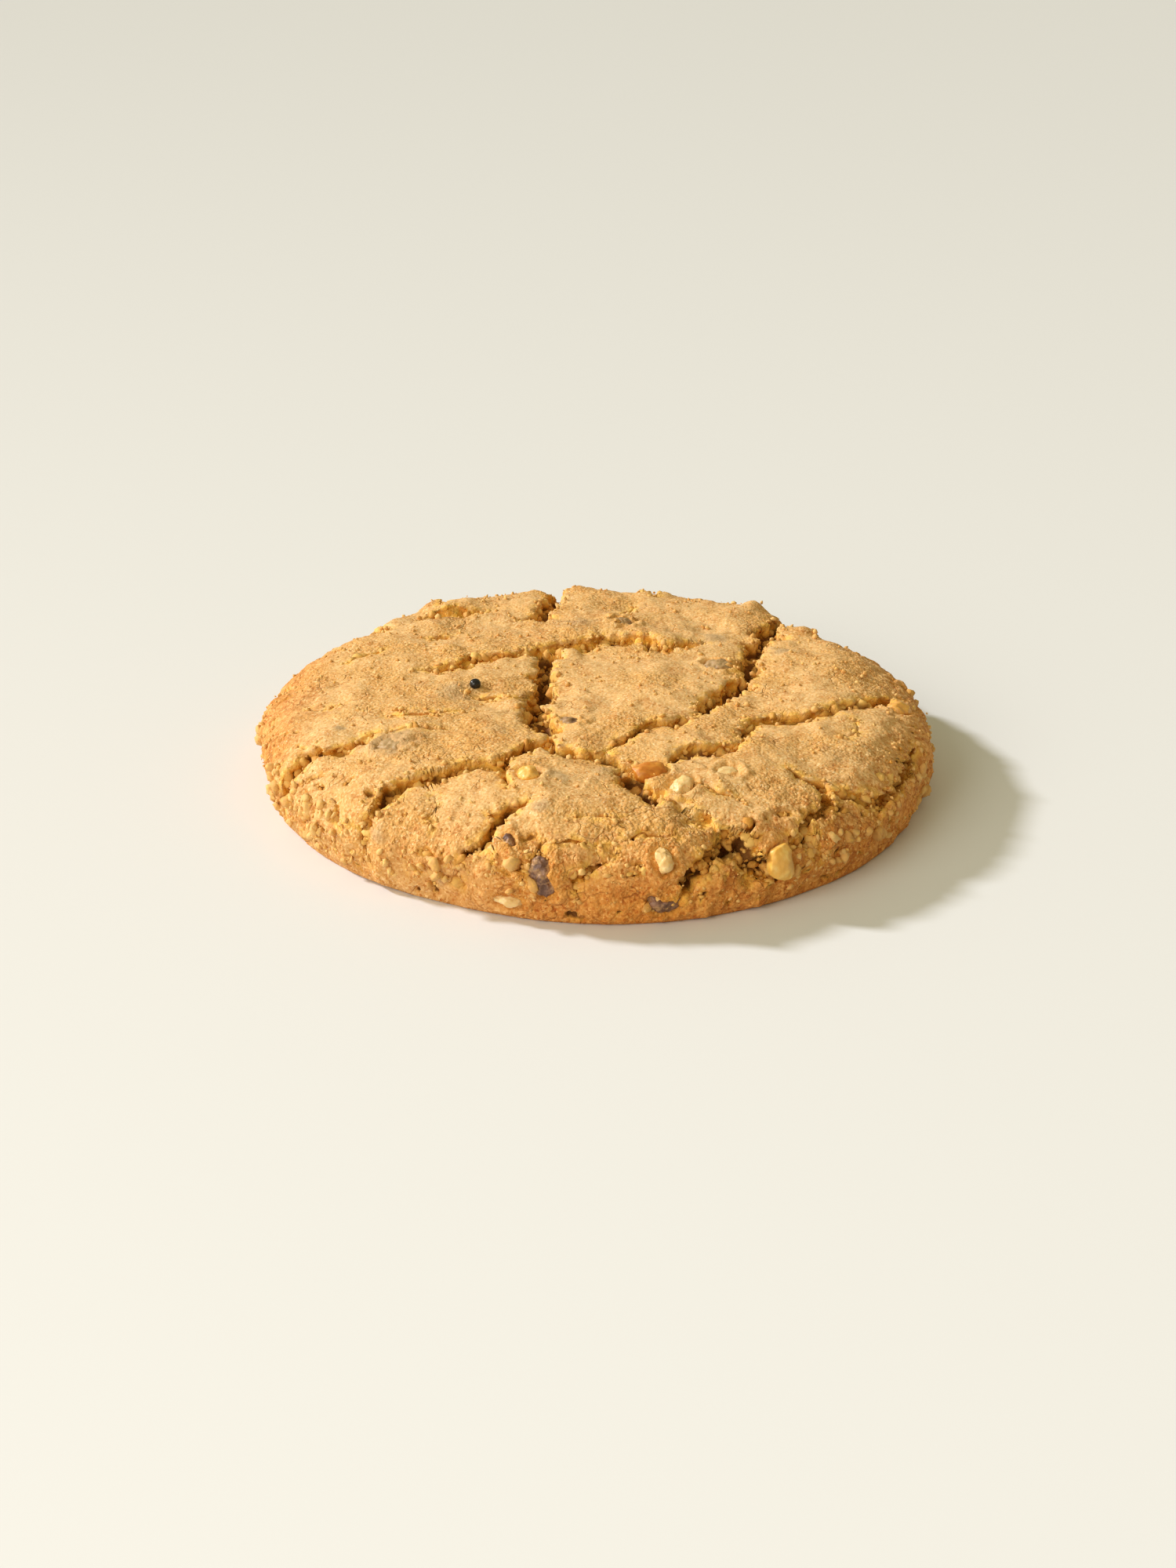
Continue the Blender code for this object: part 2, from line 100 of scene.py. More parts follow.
# Cracks in the crust: width, depth, how far the crust is lifted on the left of the route, and the
# route, all in mm.
CRACKS = {
    "left_rim": (
        1.7,
        2.2,
        0.7,
        [(-44.5, -23.0), (-39.0, -20.3), (-36.0, -18.5), (-31.5, -19.2), (-28.0, -16.0)],
    ),
    "centre_left": (
        1.7,
        2.3,
        0.8,
        [(-28.6, -35.0), (-25.5, -30.5), (-19.3, -28.2), (-16.0, -26.3), (-12.0, -26.0), (-5.9, -18.9)],
    ),
    "centre_left_spur": (1.6, 3.4, 0.0, [(-11.6, -25.5), (-10.6, -31.8)]),
    "centre_north": (
        3.4,
        3.4,
        0.0,
        [(-5.4, -19.2), (-7.8, -10.5), (-6.6, -2.9), (-6.6, 8.5), (-7.8, 12.5)],
    ),
    "back_middle": (
        2.6,
        2.0,
        0.8,
        [(-7.6, 12.0), (-2.1, 13.2), (1.1, 15.8), (6.7, 14.6), (9.8, 12.6), (15.0, 15.8)],
    ),
    "back_notch": (2.8, 3.6, 0.0, [(-10.6, 24.2), (-7.6, 25.4), (-6.4, 31.5), (-5.2, 45.5)]),
    "back_right": (
        3.0,
        3.4,
        0.5,
        [(13.0, -10.5), (16.2, -3.7), (20.0, 1.6), (20.6, 9.9), (25.2, 23.3), (30.0, 37.0)],
    ),
    "plate_front": (
        1.1,
        1.4,
        0.6,
        [(1.6, -21.6), (4.9, -16.1), (7.5, -12.9), (10.0, -14.2), (13.1, -10.5)],
    ),
    "centre_east": (2.0, 3.0, 1.2, [(-5.9, -19.3), (-4.2, -22.5), (1.9, -23.1), (4.6, -25.5)]),
    "almond_hole": (3.0, 2.8, 0.4, [(3.6, -24.8), (4.6, -29.0), (7.6, -33.0), (9.6, -33.4)]),
    "east_wall": (1.8, 2.6, 1.4, [(8.9, -25.0), (10.4, -21.9), (13.9, -21.4), (18.8, -18.6)]),
    "right_long": (
        1.5,
        1.9,
        0.8,
        [(18.5, -18.8), (20.4, -10.5), (28.7, -8.7), (35.6, -3.3), (41.0, 2.5)],
    ),
    "lower_left": (1.6, 2.9, 0.6, [(-17.4, -44.6), (-12.6, -40.6), (-12.2, -38.0), (-7.5, -34.6)]),
    "front_cleft": (2.4, 3.0, 0.0, [(11.2, -49.2), (13.0, -44.9), (16.0, -38.8)]),
    "front_cavity": (5.0, 4.4, 1.5, [(13.6, -41.6), (17.0, -41.0), (20.6, -42.0), (23.6, -43.4)]),
    "front_cavity_right": (3.0, 3.0, 1.0, [(24.4, -38.6), (26.7, -37.6), (30.2, -38.0)]),
    "right_lower": (1.8, 2.0, 0.0, [(24.0, -24.7), (28.0, -27.0), (28.9, -31.2), (24.1, -37.4)]),
    "right_cross": (
        2.2,
        2.8,
        0.8,
        [(29.2, -27.8), (34.7, -27.6), (39.6, -22.4), (41.6, -15.4), (43.2, -9.8)],
    ),
    "back_left": (1.7, 1.4, 0.9, [(-24.6, 3.2), (-20.0, 4.2), (-17.5, 7.4), (-7.5, 10.9)]),
    "back_step": (2.2, 1.5, 1.2, [(-26.0, 25.5), (-20.7, 27.5), (-15.0, 27.0)]),
    "back_dimple": (2.2, 1.6, 0.6, [(-24.2, 16.4), (-20.0, 17.6)]),
    "left_wedge": (1.6, 1.2, 0.4, [(-34.4, 8.2), (-30.2, 12.4)]),
    "front_spur": (1.1, 1.7, 0.0, [(-1.7, -50.0), (-1.7, -46.4), (2.2, -44.0)]),
}

# Splits and pits too fine for the solid.
FINE_CRACKS = {
    "left_rim_tail": (0.6, 0.5, 0.2, [(-28.0, -16.0), (-24.3, -15.7), (-20.0, -15.5)]),
    "left_front_split": (
        1.2,
        1.3,
        0.3,
        [(-30.4, -38.6), (-28.8, -35.4), (-26.0, -33.0), (-23.6, -31.6)],
    ),
    "front_hairline": (0.7, 0.9, 0.2, [(-6.3, -41.9), (-1.3, -41.8), (1.1, -41.7)]),
    "front_hairline_two": (0.7, 0.8, 0.2, [(-2.3, -38.3), (3.0, -38.2)]),
    "plate_pits": (0.8, 0.8, 0.0, [(-20.1, -32.2), (-19.4, -34.4)]),
    "plate_pits_two": (0.6, 0.7, 0.0, [(-20.4, -36.6), (-19.9, -38.4)]),
    "raisin_tear": (0.7, 1.1, 0.0, [(-6.4, -43.4), (-7.5, -44.9), (-8.8, -46.6)]),
    "side_tear": (0.9, 1.2, 0.0, [(-12.0, -43.4), (-12.5, -45.4)]),
    "left_foot_tear": (0.8, 0.9, 0.0, [(-33.5, -28.9), (-33.0, -32.0), (-31.8, -34.0)]),
    "right_speck": (1.1, 1.0, 0.0, [(25.2, -25.6), (27.0, -26.4)]),
    "right_branch": (0.8, 1.0, 0.0, [(37.6, -26.8), (38.3, -30.0)]),
    "back_spur": (1.4, 1.2, 0.4, [(4.0, 25.6), (5.4, 30.4)]),
    "centre_fold": (0.9, 0.8, 0.5, [(-17.4, -3.8), (-13.8, -5.6), (-11.0, -5.2)]),
    "plate_left_fold": (0.6, 0.6, 0.3, [(-27.2, -11.0), (-22.4, -11.4), (-17.6, -10.4)]),
    "east_hairline": (0.7, 0.8, 0.3, [(12.4, -29.4), (14.8, -31.8), (17.6, -32.6)]),
    "east_hairline_two": (0.5, 0.6, 0.2, [(31.6, -15.4), (34.4, -12.2), (34.0, -9.0)]),
    "front_east_pocket": (1.4, 1.2, 0.3, [(11.2, -36.4), (14.2, -37.2)]),
    "front_east_scale": (0.6, 0.6, 0.4, [(2.6, -41.2), (6.0, -40.2), (9.6, -41.0)]),
    "east_crumble": (3.6, 0.8, 0.4, [(9.6, -33.4), (12.4, -36.0), (14.6, -38.6)]),
    "front_pit": (1.0, 1.1, 0.0, [(-24.4, -42.6), (-23.0, -43.6)]),
    "foot_pit": (0.7, 0.9, 0.0, [(-19.0, -45.8), (-17.6, -46.6)]),
    "left_scales": (0.5, 0.5, 0.2, [(-38.8, -6.2), (-36.4, -7.0), (-33.6, -5.8)]),
}

# The side away from view has short cracks of the same kind, set out by rule round the edge.
HIDDEN_CRACKS = 6
HIDDEN_ARC = (35.0, 145.0)
HIDDEN_LENGTH = 10.0
HIDDEN_START = 38.5
HIDDEN_SHIFT = 2.5
HIDDEN_BEND = 0.06
HIDDEN_WIDTHS = (1.6, 2.1, 2.6)
HIDDEN_DEPTHS = (1.8, 2.2)

# Small open pits in the side, set out by a seeded draw. Lengths are in mm.
PITS = 240
PIT_WALKS = (41.0, 52.5)
PIT_RADII = (0.24, 0.62)
PIT_DEPTHS = (0.5, 1.2)
PIT_STRETCH = 2.2
PIT_RAGGED = 0.9
PIT_RAGGED_SIZE = 0.9
PIT_EDGE = (0.3, 1.1)

# Raisins that lie under a thin veil of crust: place, radius and height in mm, and how grey they look.
VEILED_RAISINS = [
    ((-25.6, -19.4), 4.2, 0.3, 0.75),
    ((-18.6, -3.8), 3.2, 0.25, 0.60),
    ((-2.8, 20.4), 3.0, 0.30, 0.50),
    ((16.4, 17.4), 2.2, 0.20, 0.70),
    ((25.8, 13.5), 2.0, 0.15, 0.75),
    ((1.2, -27.3), 2.0, 0.15, 0.55),
    ((-27.0, -36.9), 1.5, 0.10, 0.60),
    ((-4.2, -29.6), 1.8, 0.15, 0.60),
    ((-6.3, -36.6), 1.4, 0.10, 0.70),
    ((-20.7, -45.0), 1.5, 0.10, 0.60),
    ((-33.1, -14.6), 1.0, 0.00, 0.85),
    ((-12.5, -16.5), 2.2, 0.10, 0.30),
    ((30.0, -20.0), 2.6, 0.20, 0.25),
]
VEIL_FALL = 1.6
VEIL_RAGGED = 0.45
VEIL_RAGGED_SIZE = 1.3 * MM
VEIL_EDGE = (0.35, 1.15)

# Lumps and dents, as height and size of each layer: broad ones in the crust, grains over all of it,
# coarser grains where it is rough, and lumps in the crumb, smaller on the lips and in narrow cracks.
CRUST_LUMPS = [(0.30 * MM, 3.4 * MM), (0.16 * MM, 1.5 * MM)]
CRUST_GRAINS = [(0.16 * MM, 1.25 * MM)]
SIDE_GRAINS = [(0.42 * MM, 1.5 * MM), (0.30 * MM, 0.85 * MM)]
CRUMB_LUMPS = [(1.50 * MM, 1.7 * MM), (0.50 * MM, 1.0 * MM)]
LIP_SHARE = 0.55
LUMP_ROOM = 0.9 * MM
LUMP_LEAST = 0.25
SMOOTHER_CRUMB = 0.6
LUMPIER_SIDE = 0.5
FEWER_GRAINS = 0.7
TOO_FAINT = 0.02

# Broken crumb shows from the first depth on and covers all by the second. The lip runs along the edge.
CRUMB_DEPTHS = (0.15 * MM, 0.8 * MM)
LIP_WIDTH = 0.7 * MM

# A crack's wall is cut under its edge, and the lip leans out over it.
WALL_DEPTH = 2.0 * MM
UNDERCUT = 0.35 * MM
OVERHANG = 0.25 * MM
OVERHANG_REACH = 0.6 * MM

# The side browns to a deeper gold than the top, from one walk out to another.
SIDE_START = 38.0 * MM
SIDE_FULL = 50.0 * MM

# The side is paler towards the left, between these two places along X, down to this share.
PALER_LEFT = (-31.0 * MM, 5.0 * MM)
LEFT_SHARE = 0.28

# The rim that faces left is darkened with a painted shade, between these places along X and from the
# front to the back.
SHADE_LEFT = (34.0 * MM, 44.0 * MM)
SHADE_BEHIND = (-24.0 * MM, -10.0 * MM)
SHADE_SHARE = 0.60

# The crust is rough and crumbly from the first walk on and roughest by the second, in patches this far
# apart. The patches change it by this much about their mean, and the right is rougher than the left.
ROUGH_WALKS = (33.0 * MM, 45.0 * MM)
ROUGH_PATCH = 7.0 * MM
ROUGH_MEAN = 0.75
ROUGH_CHANGE = 0.9
ROUGH_RIGHT = 0.25
ROUGH_LIMITS = (0.3, 1.0)

# The skin's grid has this many cells across. Its points are drawn in from this far to the middle of the
# crack walls, down to this share of their distance, so that a steep wall has enough of them. In the
# crumb they are then eased towards their neighbours.
SKIN_CELLS = 310
EDGE_PULL_REACH = 2.2 * MM
EDGE_PULL = 0.24
WALL_MIDDLE = 0.3 * MM
EASING = 0.6
EASING_ROUNDS = 2

# A crack and a pit reach their darkest painted shade at these depths.
FULL_DARK = 2.3 * MM
PIT_DARK = 0.9 * MM

# The dough round each raisin and nut: a ragged groove against it and a torn ridge that laps over it.
# The ridge's way out, wander and rise are given for raisins first and for nuts second.
NEST_REACH = 3.0 * MM
NEST_RAGGED_SIZE = 1.3 * MM
GROOVE_DEPTH = 0.55 * MM
GROOVE_WIDTH = 0.28 * MM
TORN_OUT = (0.45 * MM, 0.80 * MM)
TORN_WANDER = (1.5 * MM, 0.6 * MM)
TORN_LIMITS = (-0.4, 0.6)
TORN_RISE = (0.50 * MM, 0.30 * MM)
TORN_WIDTH = 0.45 * MM
TORN_INSIDE = -1.2 * MM
NEST_TINT = 0.5 * MM


def smooth_step(low, high, value):
    t = np.clip((value - low) / (high - low), 0.0, 1.0)
    return t * t * (3.0 - 2.0 * t)


def skin_profile():
    """Walk, radius and height along the profile: a low crown, a round shoulder and a tucked-in foot."""
    crown = np.linspace(0.0, SHOULDER_RADIUS, 40)
    crown_height = THICKNESS - CROWN_RISE * (crown / SHOULDER_RADIUS) ** 2
    turn = np.linspace(0.0, math.pi / 2, 60)[1:]
    shoulder = SHOULDER_RADIUS + (COOKIE_RADIUS - SHOULDER_RADIUS) * np.sin(turn)
    shoulder_height = WIDEST_HEIGHT + (crown_height[-1] - WIDEST_HEIGHT) * np.cos(turn)
    foot = COOKIE_RADIUS - (COOKIE_RADIUS - FOOT_RADIUS) * (1.0 - np.cos(turn))
    foot_height = WIDEST_HEIGHT * (1.0 - np.sin(turn))
    radius = np.concatenate([crown, shoulder, foot])
    height = np.concatenate([crown_height, shoulder_height, foot_height])
    steps = np.hypot(np.diff(radius), np.diff(height))
    return np.concatenate([[0.0], np.cumsum(steps)]), radius, height


WALK, RADIUS, HEIGHT = skin_profile()
SKIN_REACH = WALK[-1]
FAR_AWAY = 10.0 * SKIN_REACH


def above_foot(walk):
    """1 over most of the skin, and 0 at its rim, where the foot stays on the floor."""
    return 1.0 - smooth_step(SKIN_REACH - FOOT_BAND, SKIN_REACH - STEADY_FOOT, walk)


def wrap(places):
    """Points and outward normals of the even cookie for places on the flat skin."""
    walk = np.hypot(places[:, 0], places[:, 1])
    azimuth = np.arctan2(places[:, 1], places[:, 0])
    outline = np.ones(len(places))
    for amount, waves, peak in OUTLINE_WAVES:
        outline += amount * np.cos(waves * azimuth - peak)
    radius = np.interp(walk, WALK, RADIUS) * outline
    height = np.interp(walk, WALK, HEIGHT)
    step = 0.3 * MM
    before, after = np.maximum(walk - step, 0.0), np.minimum(walk + step, SKIN_REACH)
    run = np.interp(after, WALK, RADIUS) - np.interp(before, WALK, RADIUS)
    fall = np.interp(before, WALK, HEIGHT) - np.interp(after, WALK, HEIGHT)
    length = np.hypot(run, fall)
    outward, upward = fall / length, run / length
    points = np.stack([radius * np.cos(azimuth), radius * np.sin(azimuth), height], 1)
    normals = np.stack([outward * np.cos(azimuth), outward * np.sin(azimuth), upward], 1)
    return points, normals


def swell(places, spacing, layer):
    """Smooth noise over the flat skin, about -1 to 1. Each layer has its own pattern."""
    return np.array([noise.noise(Vector((x / spacing, y / spacing, 7.3 * layer))) for x, y in places])


def pebbles(points, spacing):
    """Rounded lumps that press on each other: 0.5 on top of a lump, and below zero between lumps."""
    return np.array([0.5 - noise.voronoi(Vector(point) / spacing)[0][0] for point in points])


def eased(points, share, rounds):
    """The skin's points drawn towards the middle of their four neighbours on the grid, by a share."""
    side = int(round(math.sqrt(len(points))))
    grid = points.reshape(side, side, 3).copy()
    inner = share.reshape(side, side)[1:-1, 1:-1, None]
    for _ in range(rounds):
        around = (grid[:-2, 1:-1] + grid[2:, 1:-1] + grid[1:-1, :-2] + grid[1:-1, 2:]) / 4
        grid[1:-1, 1:-1] += inner * (around - grid[1:-1, 1:-1])
    return grid.reshape(-1, 3)


def true_normals(mesh):
    normals = np.empty(len(mesh.vertices) * 3, np.float32)
    mesh.vertex_normals.foreach_get("vector", normals)
    return normals.reshape(-1, 3).astype(float)


def hidden_cracks():
    """Short bent cracks round the far edge."""
    made = {}
    for i in range(HIDDEN_CRACKS):
        share = i / (HIDDEN_CRACKS - 1)
        start = math.radians(HIDDEN_ARC[0] + share * (HIDDEN_ARC[1] - HIDDEN_ARC[0]))
        route = []
        for step in range(4):
            walk = HIDDEN_START + HIDDEN_LENGTH * step / 3 + HIDDEN_SHIFT * math.sin(2.4 * i)
            bend = start + HIDDEN_BEND * math.sin(1.9 * i + 2.2 * step)
            route.append((walk * math.cos(bend), walk * math.sin(bend)))
        made[f"hidden_{i}"] = (HIDDEN_WIDTHS[i % 3], HIDDEN_DEPTHS[i % 2], 0.0, route)
    return made


def along_route(places, route):
    """Distance to the route, distance to its nearer end, side of it, and the way straight off it."""
    nearest = np.full(len(places), FAR_AWAY)
    walked = np.zeros(len(places))
    left = np.zeros(len(places))
    away = np.zeros_like(places)
    passed = 0.0
    for start, end in zip(route[:-1], route[1:]):
        run = end - start
        length = np.linalg.norm(run)
        share = np.clip((places - start) @ run / length**2, 0.0, 1.0)
        across = places - (start + share[:, None] * run)
        distance = np.linalg.norm(across, axis=1)
        side = run[0] * across[:, 1] - run[1] * across[:, 0]
        closer = distance < nearest
        nearest[closer] = distance[closer]
        walked[closer] = passed + share[closer] * length
        left[closer] = np.sign(side[closer])
        away[closer] = across[closer] / np.maximum(distance[closer], 1e-9)[:, None]
        passed += length
    return nearest, np.minimum(walked, passed - walked), left, away


def relief(places):
    """The crust's height at each place, and the nearest crack's depth, edge, way off and half width."""
    height = np.zeros(len(places))
    for layer, (amount, spacing) in enumerate(SWELLS):
        height += amount * swell(places, spacing, layer)
    wandered = places.copy()
    for layer, (amount, spacing) in enumerate(CRACK_WANDER):
        wandered[:, 0] += amount * swell(places, spacing, 10 + layer)
        wandered[:, 1] += amount * swell(places, spacing, 20 + layer)
    for (x, y), radius, rise in KNOBS:
        distance = np.hypot(places[:, 0] - x * MM, places[:, 1] - y * MM)
        height += rise * MM * np.exp(-2.0 * (distance / (radius * MM)) ** 2)
    wider = np.ones(len(places))
    for layer, (amount, spacing) in enumerate(WIDTH_CHANGE):
        wider += amount * swell(places, spacing, 60 + layer)
    wider = np.clip(wider, *CHANGE_LIMITS)
    deeper = np.clip(1.0 + DEPTH_CHANGE[0] * swell(places, DEPTH_CHANGE[1], 70), *CHANGE_LIMITS)
    cut = np.zeros(len(places))
    edge = np.full(len(places), FAR_AWAY)
    room = np.zeros(len(places))
    off = np.zeros_like(places)
    for width, depth, lift, route in {**CRACKS, **hidden_cracks(), **FINE_CRACKS}.values():
        distance, from_end, left, away = along_route(wandered, np.array(route) * MM)
        taper = CRACK_END + (1.0 - CRACK_END) * smooth_step(0.0, CRACK_TAPER, from_end)
        half = 0.5 * width * MM * taper * wider
        slope = 1.0 - smooth_step(WALL_FOOT, WALL_TOP, distance / half)
        cut = np.maximum(cut, depth * MM * taper * deeper * slope)
        closer = distance - half < edge
        off[closer] = away[closer]
        room[closer] = half[closer]
        edge = np.minimum(edge, distance - half)
        fade = np.exp(-distance / LIFT_REACH) * smooth_step(0.0, 2 * CRACK_TAPER, from_end)
        height += 0.5 * lift * MM * left * fade
    height -= LIP_ROUNDING * np.exp(-np.maximum(edge, 0.0) / LIP_REACH)
    standing = above_foot(np.hypot(places[:, 0], places[:, 1]))
    return height * standing, cut * standing, edge, off * standing[:, None], room


def pits(places):
    """Depth of the small pits in the side at each place."""
    draw = np.random.default_rng(11)
    ragged = swell(places, PIT_RAGGED_SIZE * MM, 36)
    depth = np.zeros(len(places))
    for _ in range(PITS):
        azimuth = draw.uniform(0.0, math.tau)
        walk = draw.uniform(*PIT_WALKS) * MM
        radius = draw.uniform(*PIT_RADII) * MM
        deepest = draw.uniform(*PIT_DEPTHS) * MM
        lie = draw.uniform(0.0, math.pi)
        off_middle = places - walk * np.array([math.cos(azimuth), math.sin(azimuth)])
        along = off_middle @ np.array([math.cos(lie), math.sin(lie)]) / PIT_STRETCH
        across = off_middle @ np.array([-math.sin(lie), math.cos(lie)])
        distance = np.hypot(along, across) / radius + PIT_RAGGED * ragged
        depth = np.maximum(depth, deepest * (1.0 - smooth_step(*PIT_EDGE, distance)))
    return depth


def square_to_disc(u, v):
    """Maps the square from -1 to 1 onto the unit disc, keeping the cells' areas alike."""
    wide = np.abs(u) > np.abs(v)
    radius = np.where(wide, u, v)
    other = np.where(wide, v, u)
    safe = np.where(np.abs(radius) < 1e-12, 1.0, radius)
    turn = np.where(wide, math.pi / 4 * other / safe, math.pi / 2 - math.pi / 4 * other / safe)
    return radius * np.cos(turn), radius * np.sin(turn)


def veils(places):
    """How high and how grey the crust is over the raisins just under it."""
    height = np.zeros(len(places))
    grey = np.zeros(len(places))
    ragged = swell(places, VEIL_RAGGED_SIZE, 30)
    for (x, y), radius, rise, strength in VEILED_RAISINS:
        distance = np.hypot(places[:, 0] - x * MM, places[:, 1] - y * MM) / (radius * MM)
        height += rise * MM * np.exp(-(distance**2) * VEIL_FALL)
        shown = 1.0 - smooth_step(*VEIL_EDGE, distance + VEIL_RAGGED * ragged)
        grey = np.maximum(grey, strength * shown)
    return height, grey


def nests(points):
    """Signed distance from each point to the nearest raisin or nut, and whether that is a nut."""
    nearest = np.full(len(points), NEST_REACH)
    nut = np.zeros(len(points), bool)
    for name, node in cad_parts.items():
        if name == "cookie":
            continue
        low, high = (np.array(corner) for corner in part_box(name))
        close = ((points > low - NEST_REACH) & (points < high + NEST_REACH)).all(axis=1)
        corners = [v.co[:] for v in node.data.vertices]
        tree = BVHTree.FromPolygons(corners, [p.vertices[:] for p in node.data.polygons])
        for i in np.flatnonzero(close):
            spot, normal, _, distance = tree.find_nearest(Vector(points[i]))
            inside = (Vector(points[i]) - spot).dot(normal) < 0
            signed = -distance if inside else distance
            if signed < nearest[i]:
                nearest[i] = signed
                nut[i] = not name.startswith("raisin")
    return nearest, nut


def float_attribute(mesh, name, values):
    layer = mesh.attributes.new(name, "FLOAT", "POINT")
    layer.data.foreach_set("value", np.asarray(values, np.float32))


def bake_dough():
    """The fine skin wrapped over the profile, and what its material needs to know at every place."""
    bm = bmesh.new()
    bmesh.ops.create_grid(bm, x_segments=SKIN_CELLS, y_segments=SKIN_CELLS, size=1.0)
    rim = [e for e in bm.edges if e.is_boundary]
    base = bmesh.ops.contextual_create(bm, geom=rim)["faces"][0]
    for face in bm.faces:
        face.smooth = face is not base
    for edge in rim:
        edge.smooth = False
    corners = np.array([v.co[:2] for v in bm.verts])
    mesh = bpy.data.meshes.new("dough")
    bm.to_mesh(mesh)
    bm.free()

    # The flat skin, with its points drawn in to the crack walls.
    places = np.stack(square_to_disc(corners[:, 0], corners[:, 1]), 1) * SKIN_REACH
    _, _, edge, off, _ = relief(places)
    edge += WALL_MIDDLE
    pulled = edge * (EDGE_PULL + (1.0 - EDGE_PULL) * (edge / EDGE_PULL_REACH) ** 2)
    shift = np.where(np.abs(edge) < EDGE_PULL_REACH, pulled - edge, 0.0)
    places += off * shift[:, None]

    # How deep, broken, brown and rough each place is.
    whole, cut, edge, off, room = relief(places)
    pit = pits(places)
    dark = np.clip(np.maximum(cut / FULL_DARK, pit / PIT_DARK), 0.0, 1.0)
    cut = np.maximum(cut, pit)
    walk = np.hypot(places[:, 0], places[:, 1])
    standing = above_foot(walk)
    crumb = smooth_step(*CRUMB_DEPTHS, cut)
    lip = np.exp(-((np.maximum(edge, 0.0) / LIP_WIDTH) ** 2)) * (1.0 - crumb)
    side = smooth_step(SIDE_START, SIDE_FULL, walk)
    patchy = ROUGH_MEAN + ROUGH_CHANGE * swell(places, ROUGH_PATCH, 37)
    patchy += ROUGH_RIGHT * places[:, 0] / COOKIE_RADIUS
    rough = smooth_step(*ROUGH_WALKS, walk) * np.clip(patchy, *ROUGH_LIMITS)
    fine = np.zeros(len(places))
    for layer, (amount, spacing) in enumerate(CRUST_LUMPS):
        lumpy = (1.0 - SMOOTHER_CRUMB * crumb) * (1.0 + LUMPIER_SIDE * side)
        fine += amount * lumpy * swell(places, spacing, 40 + layer)
    veil_rise, veil = veils(places)

    # The skin in space, cracked, and then covered with grains and lumps.
    wall = np.clip(cut / WALL_DEPTH, 0.0, 1.0)
    sideways = UNDERCUT * 4.0 * wall * (1.0 - wall) - OVERHANG * lip * (edge < OVERHANG_REACH)
    points, normals = wrap(places + off * (sideways * standing)[:, None])
    high = whole + veil_rise * (1.0 - crumb)
    points += normals * ((high - cut + fine * standing)[:, None])
    points = eased(points, EASING * crumb * standing, EASING_ROUNDS)
    mesh.vertices.foreach_set("co", points.astype(np.float32).ravel())
    mesh.update()
    facing = true_normals(mesh)
    grains = sum(amount * pebbles(points, spacing) for amount, spacing in CRUST_GRAINS)
    broken = np.flatnonzero((crumb + lip) * standing > TOO_FAINT)
    lumps = sum(amount * pebbles(points[broken], spacing) for amount, spacing in CRUMB_LUMPS)
    share = (crumb + LIP_SHARE * lip)[broken] * np.clip(room[broken] / LUMP_ROOM, LUMP_LEAST, 1.0)
    grains *= 1.0 - FEWER_GRAINS * crumb
    outer = np.flatnonzero(rough > TOO_FAINT)
    broken_crust = sum(amount * pebbles(points[outer], spacing) for amount, spacing in SIDE_GRAINS)
    grains[outer] += rough[outer] * (1.0 - crumb[outer]) * broken_crust
    grains[broken] += share * lumps
    points += facing * (grains * standing)[:, None]

    # The groove and the torn ridge round each raisin and nut, and the flat foot.
    nest, nut = nests(points)
    ragged = swell(places, NEST_RAGGED_SIZE, 35)
    here_and_there = np.clip(0.5 - 2.0 * ragged, 0.0, 1.0)
    groove = GROOVE_DEPTH * here_and_there * np.exp(-((nest / GROOVE_WIDTH) ** 2))
    out, wander, rise = (np.where(nut, pair[1], pair[0]) for pair in (TORN_OUT, TORN_WANDER, TORN_RISE))
    torn = nest - out + wander * np.clip(ragged, *TORN_LIMITS)
    ridge = rise * np.exp(-((torn / TORN_WIDTH) ** 2)) * (nest > TORN_INSIDE)
    points += normals * ((ridge - groove) * standing)[:, None]
    points[walk > SKIN_REACH - 1e-6, 2] = 0.0
    points[:, 2] = np.maximum(points[:, 2], 0.0)
    mesh.vertices.foreach_set("co", points.astype(np.float32).ravel())

    float_attribute(mesh, "crumb", crumb)
    # The deep mask sets how much painted shade the cracks and pits get.
    float_attribute(mesh, "deep", dark)
    float_attribute(mesh, "lip", lip)
    float_attribute(mesh, "veil", veil)
    # The left-facing rim is darkened on top of the side's own browning, a painted shade; the side mask
    # carries both.
    left_rim_shade = smooth_step(*SHADE_LEFT, -places[:, 0]) * smooth_step(*SHADE_BEHIND, places[:, 1])
    by_place = LEFT_SHARE + (1.0 - LEFT_SHARE) * smooth_step(*PALER_LEFT, places[:, 0])
    browned = side * by_place + SHADE_SHARE * left_rim_shade
    float_attribute(mesh, "side", np.clip(browned, 0.0, 1.0))
    float_attribute(mesh, "rough", rough)
    float_attribute(mesh, "nest", np.exp(-np.maximum(nest, 0.0) / NEST_TINT))
    mesh.update()
    return mesh, points, cut, edge, walk, places


def new_material(name):
    material = bpy.data.materials.new(name)
    material.use_nodes = True
    tree = material.node_tree
    return material, tree, tree.nodes["Principled BSDF"]


def feed(tree, kind, **inputs):
    """A node with its inputs set, or linked where a socket is given. An underscore is a space."""
    node = tree.nodes.new(kind)
    for name, value in inputs.items():
        socket = node.inputs[name.replace("_", " ")]
        if isinstance(value, bpy.types.NodeSocket):
            tree.links.new(value, socket)
        else:
            socket.default_value = value
    return node


def math_of(tree, kind, first, second):
    node = tree.nodes.new("ShaderNodeMath")
    node.operation = kind
    for socket, value in zip(node.inputs, (first, second)):
        if isinstance(value, bpy.types.NodeSocket):
            tree.links.new(value, socket)
        else:
            socket.default_value = value
    return node.outputs[0]


def times(tree, first, second):
    return math_of(tree, "MULTIPLY", first, second)


def plus(tree, first, second):
    return math_of(tree, "ADD", first, second)


def minus(tree, first, second):
    return math_of(tree, "SUBTRACT", first, second)


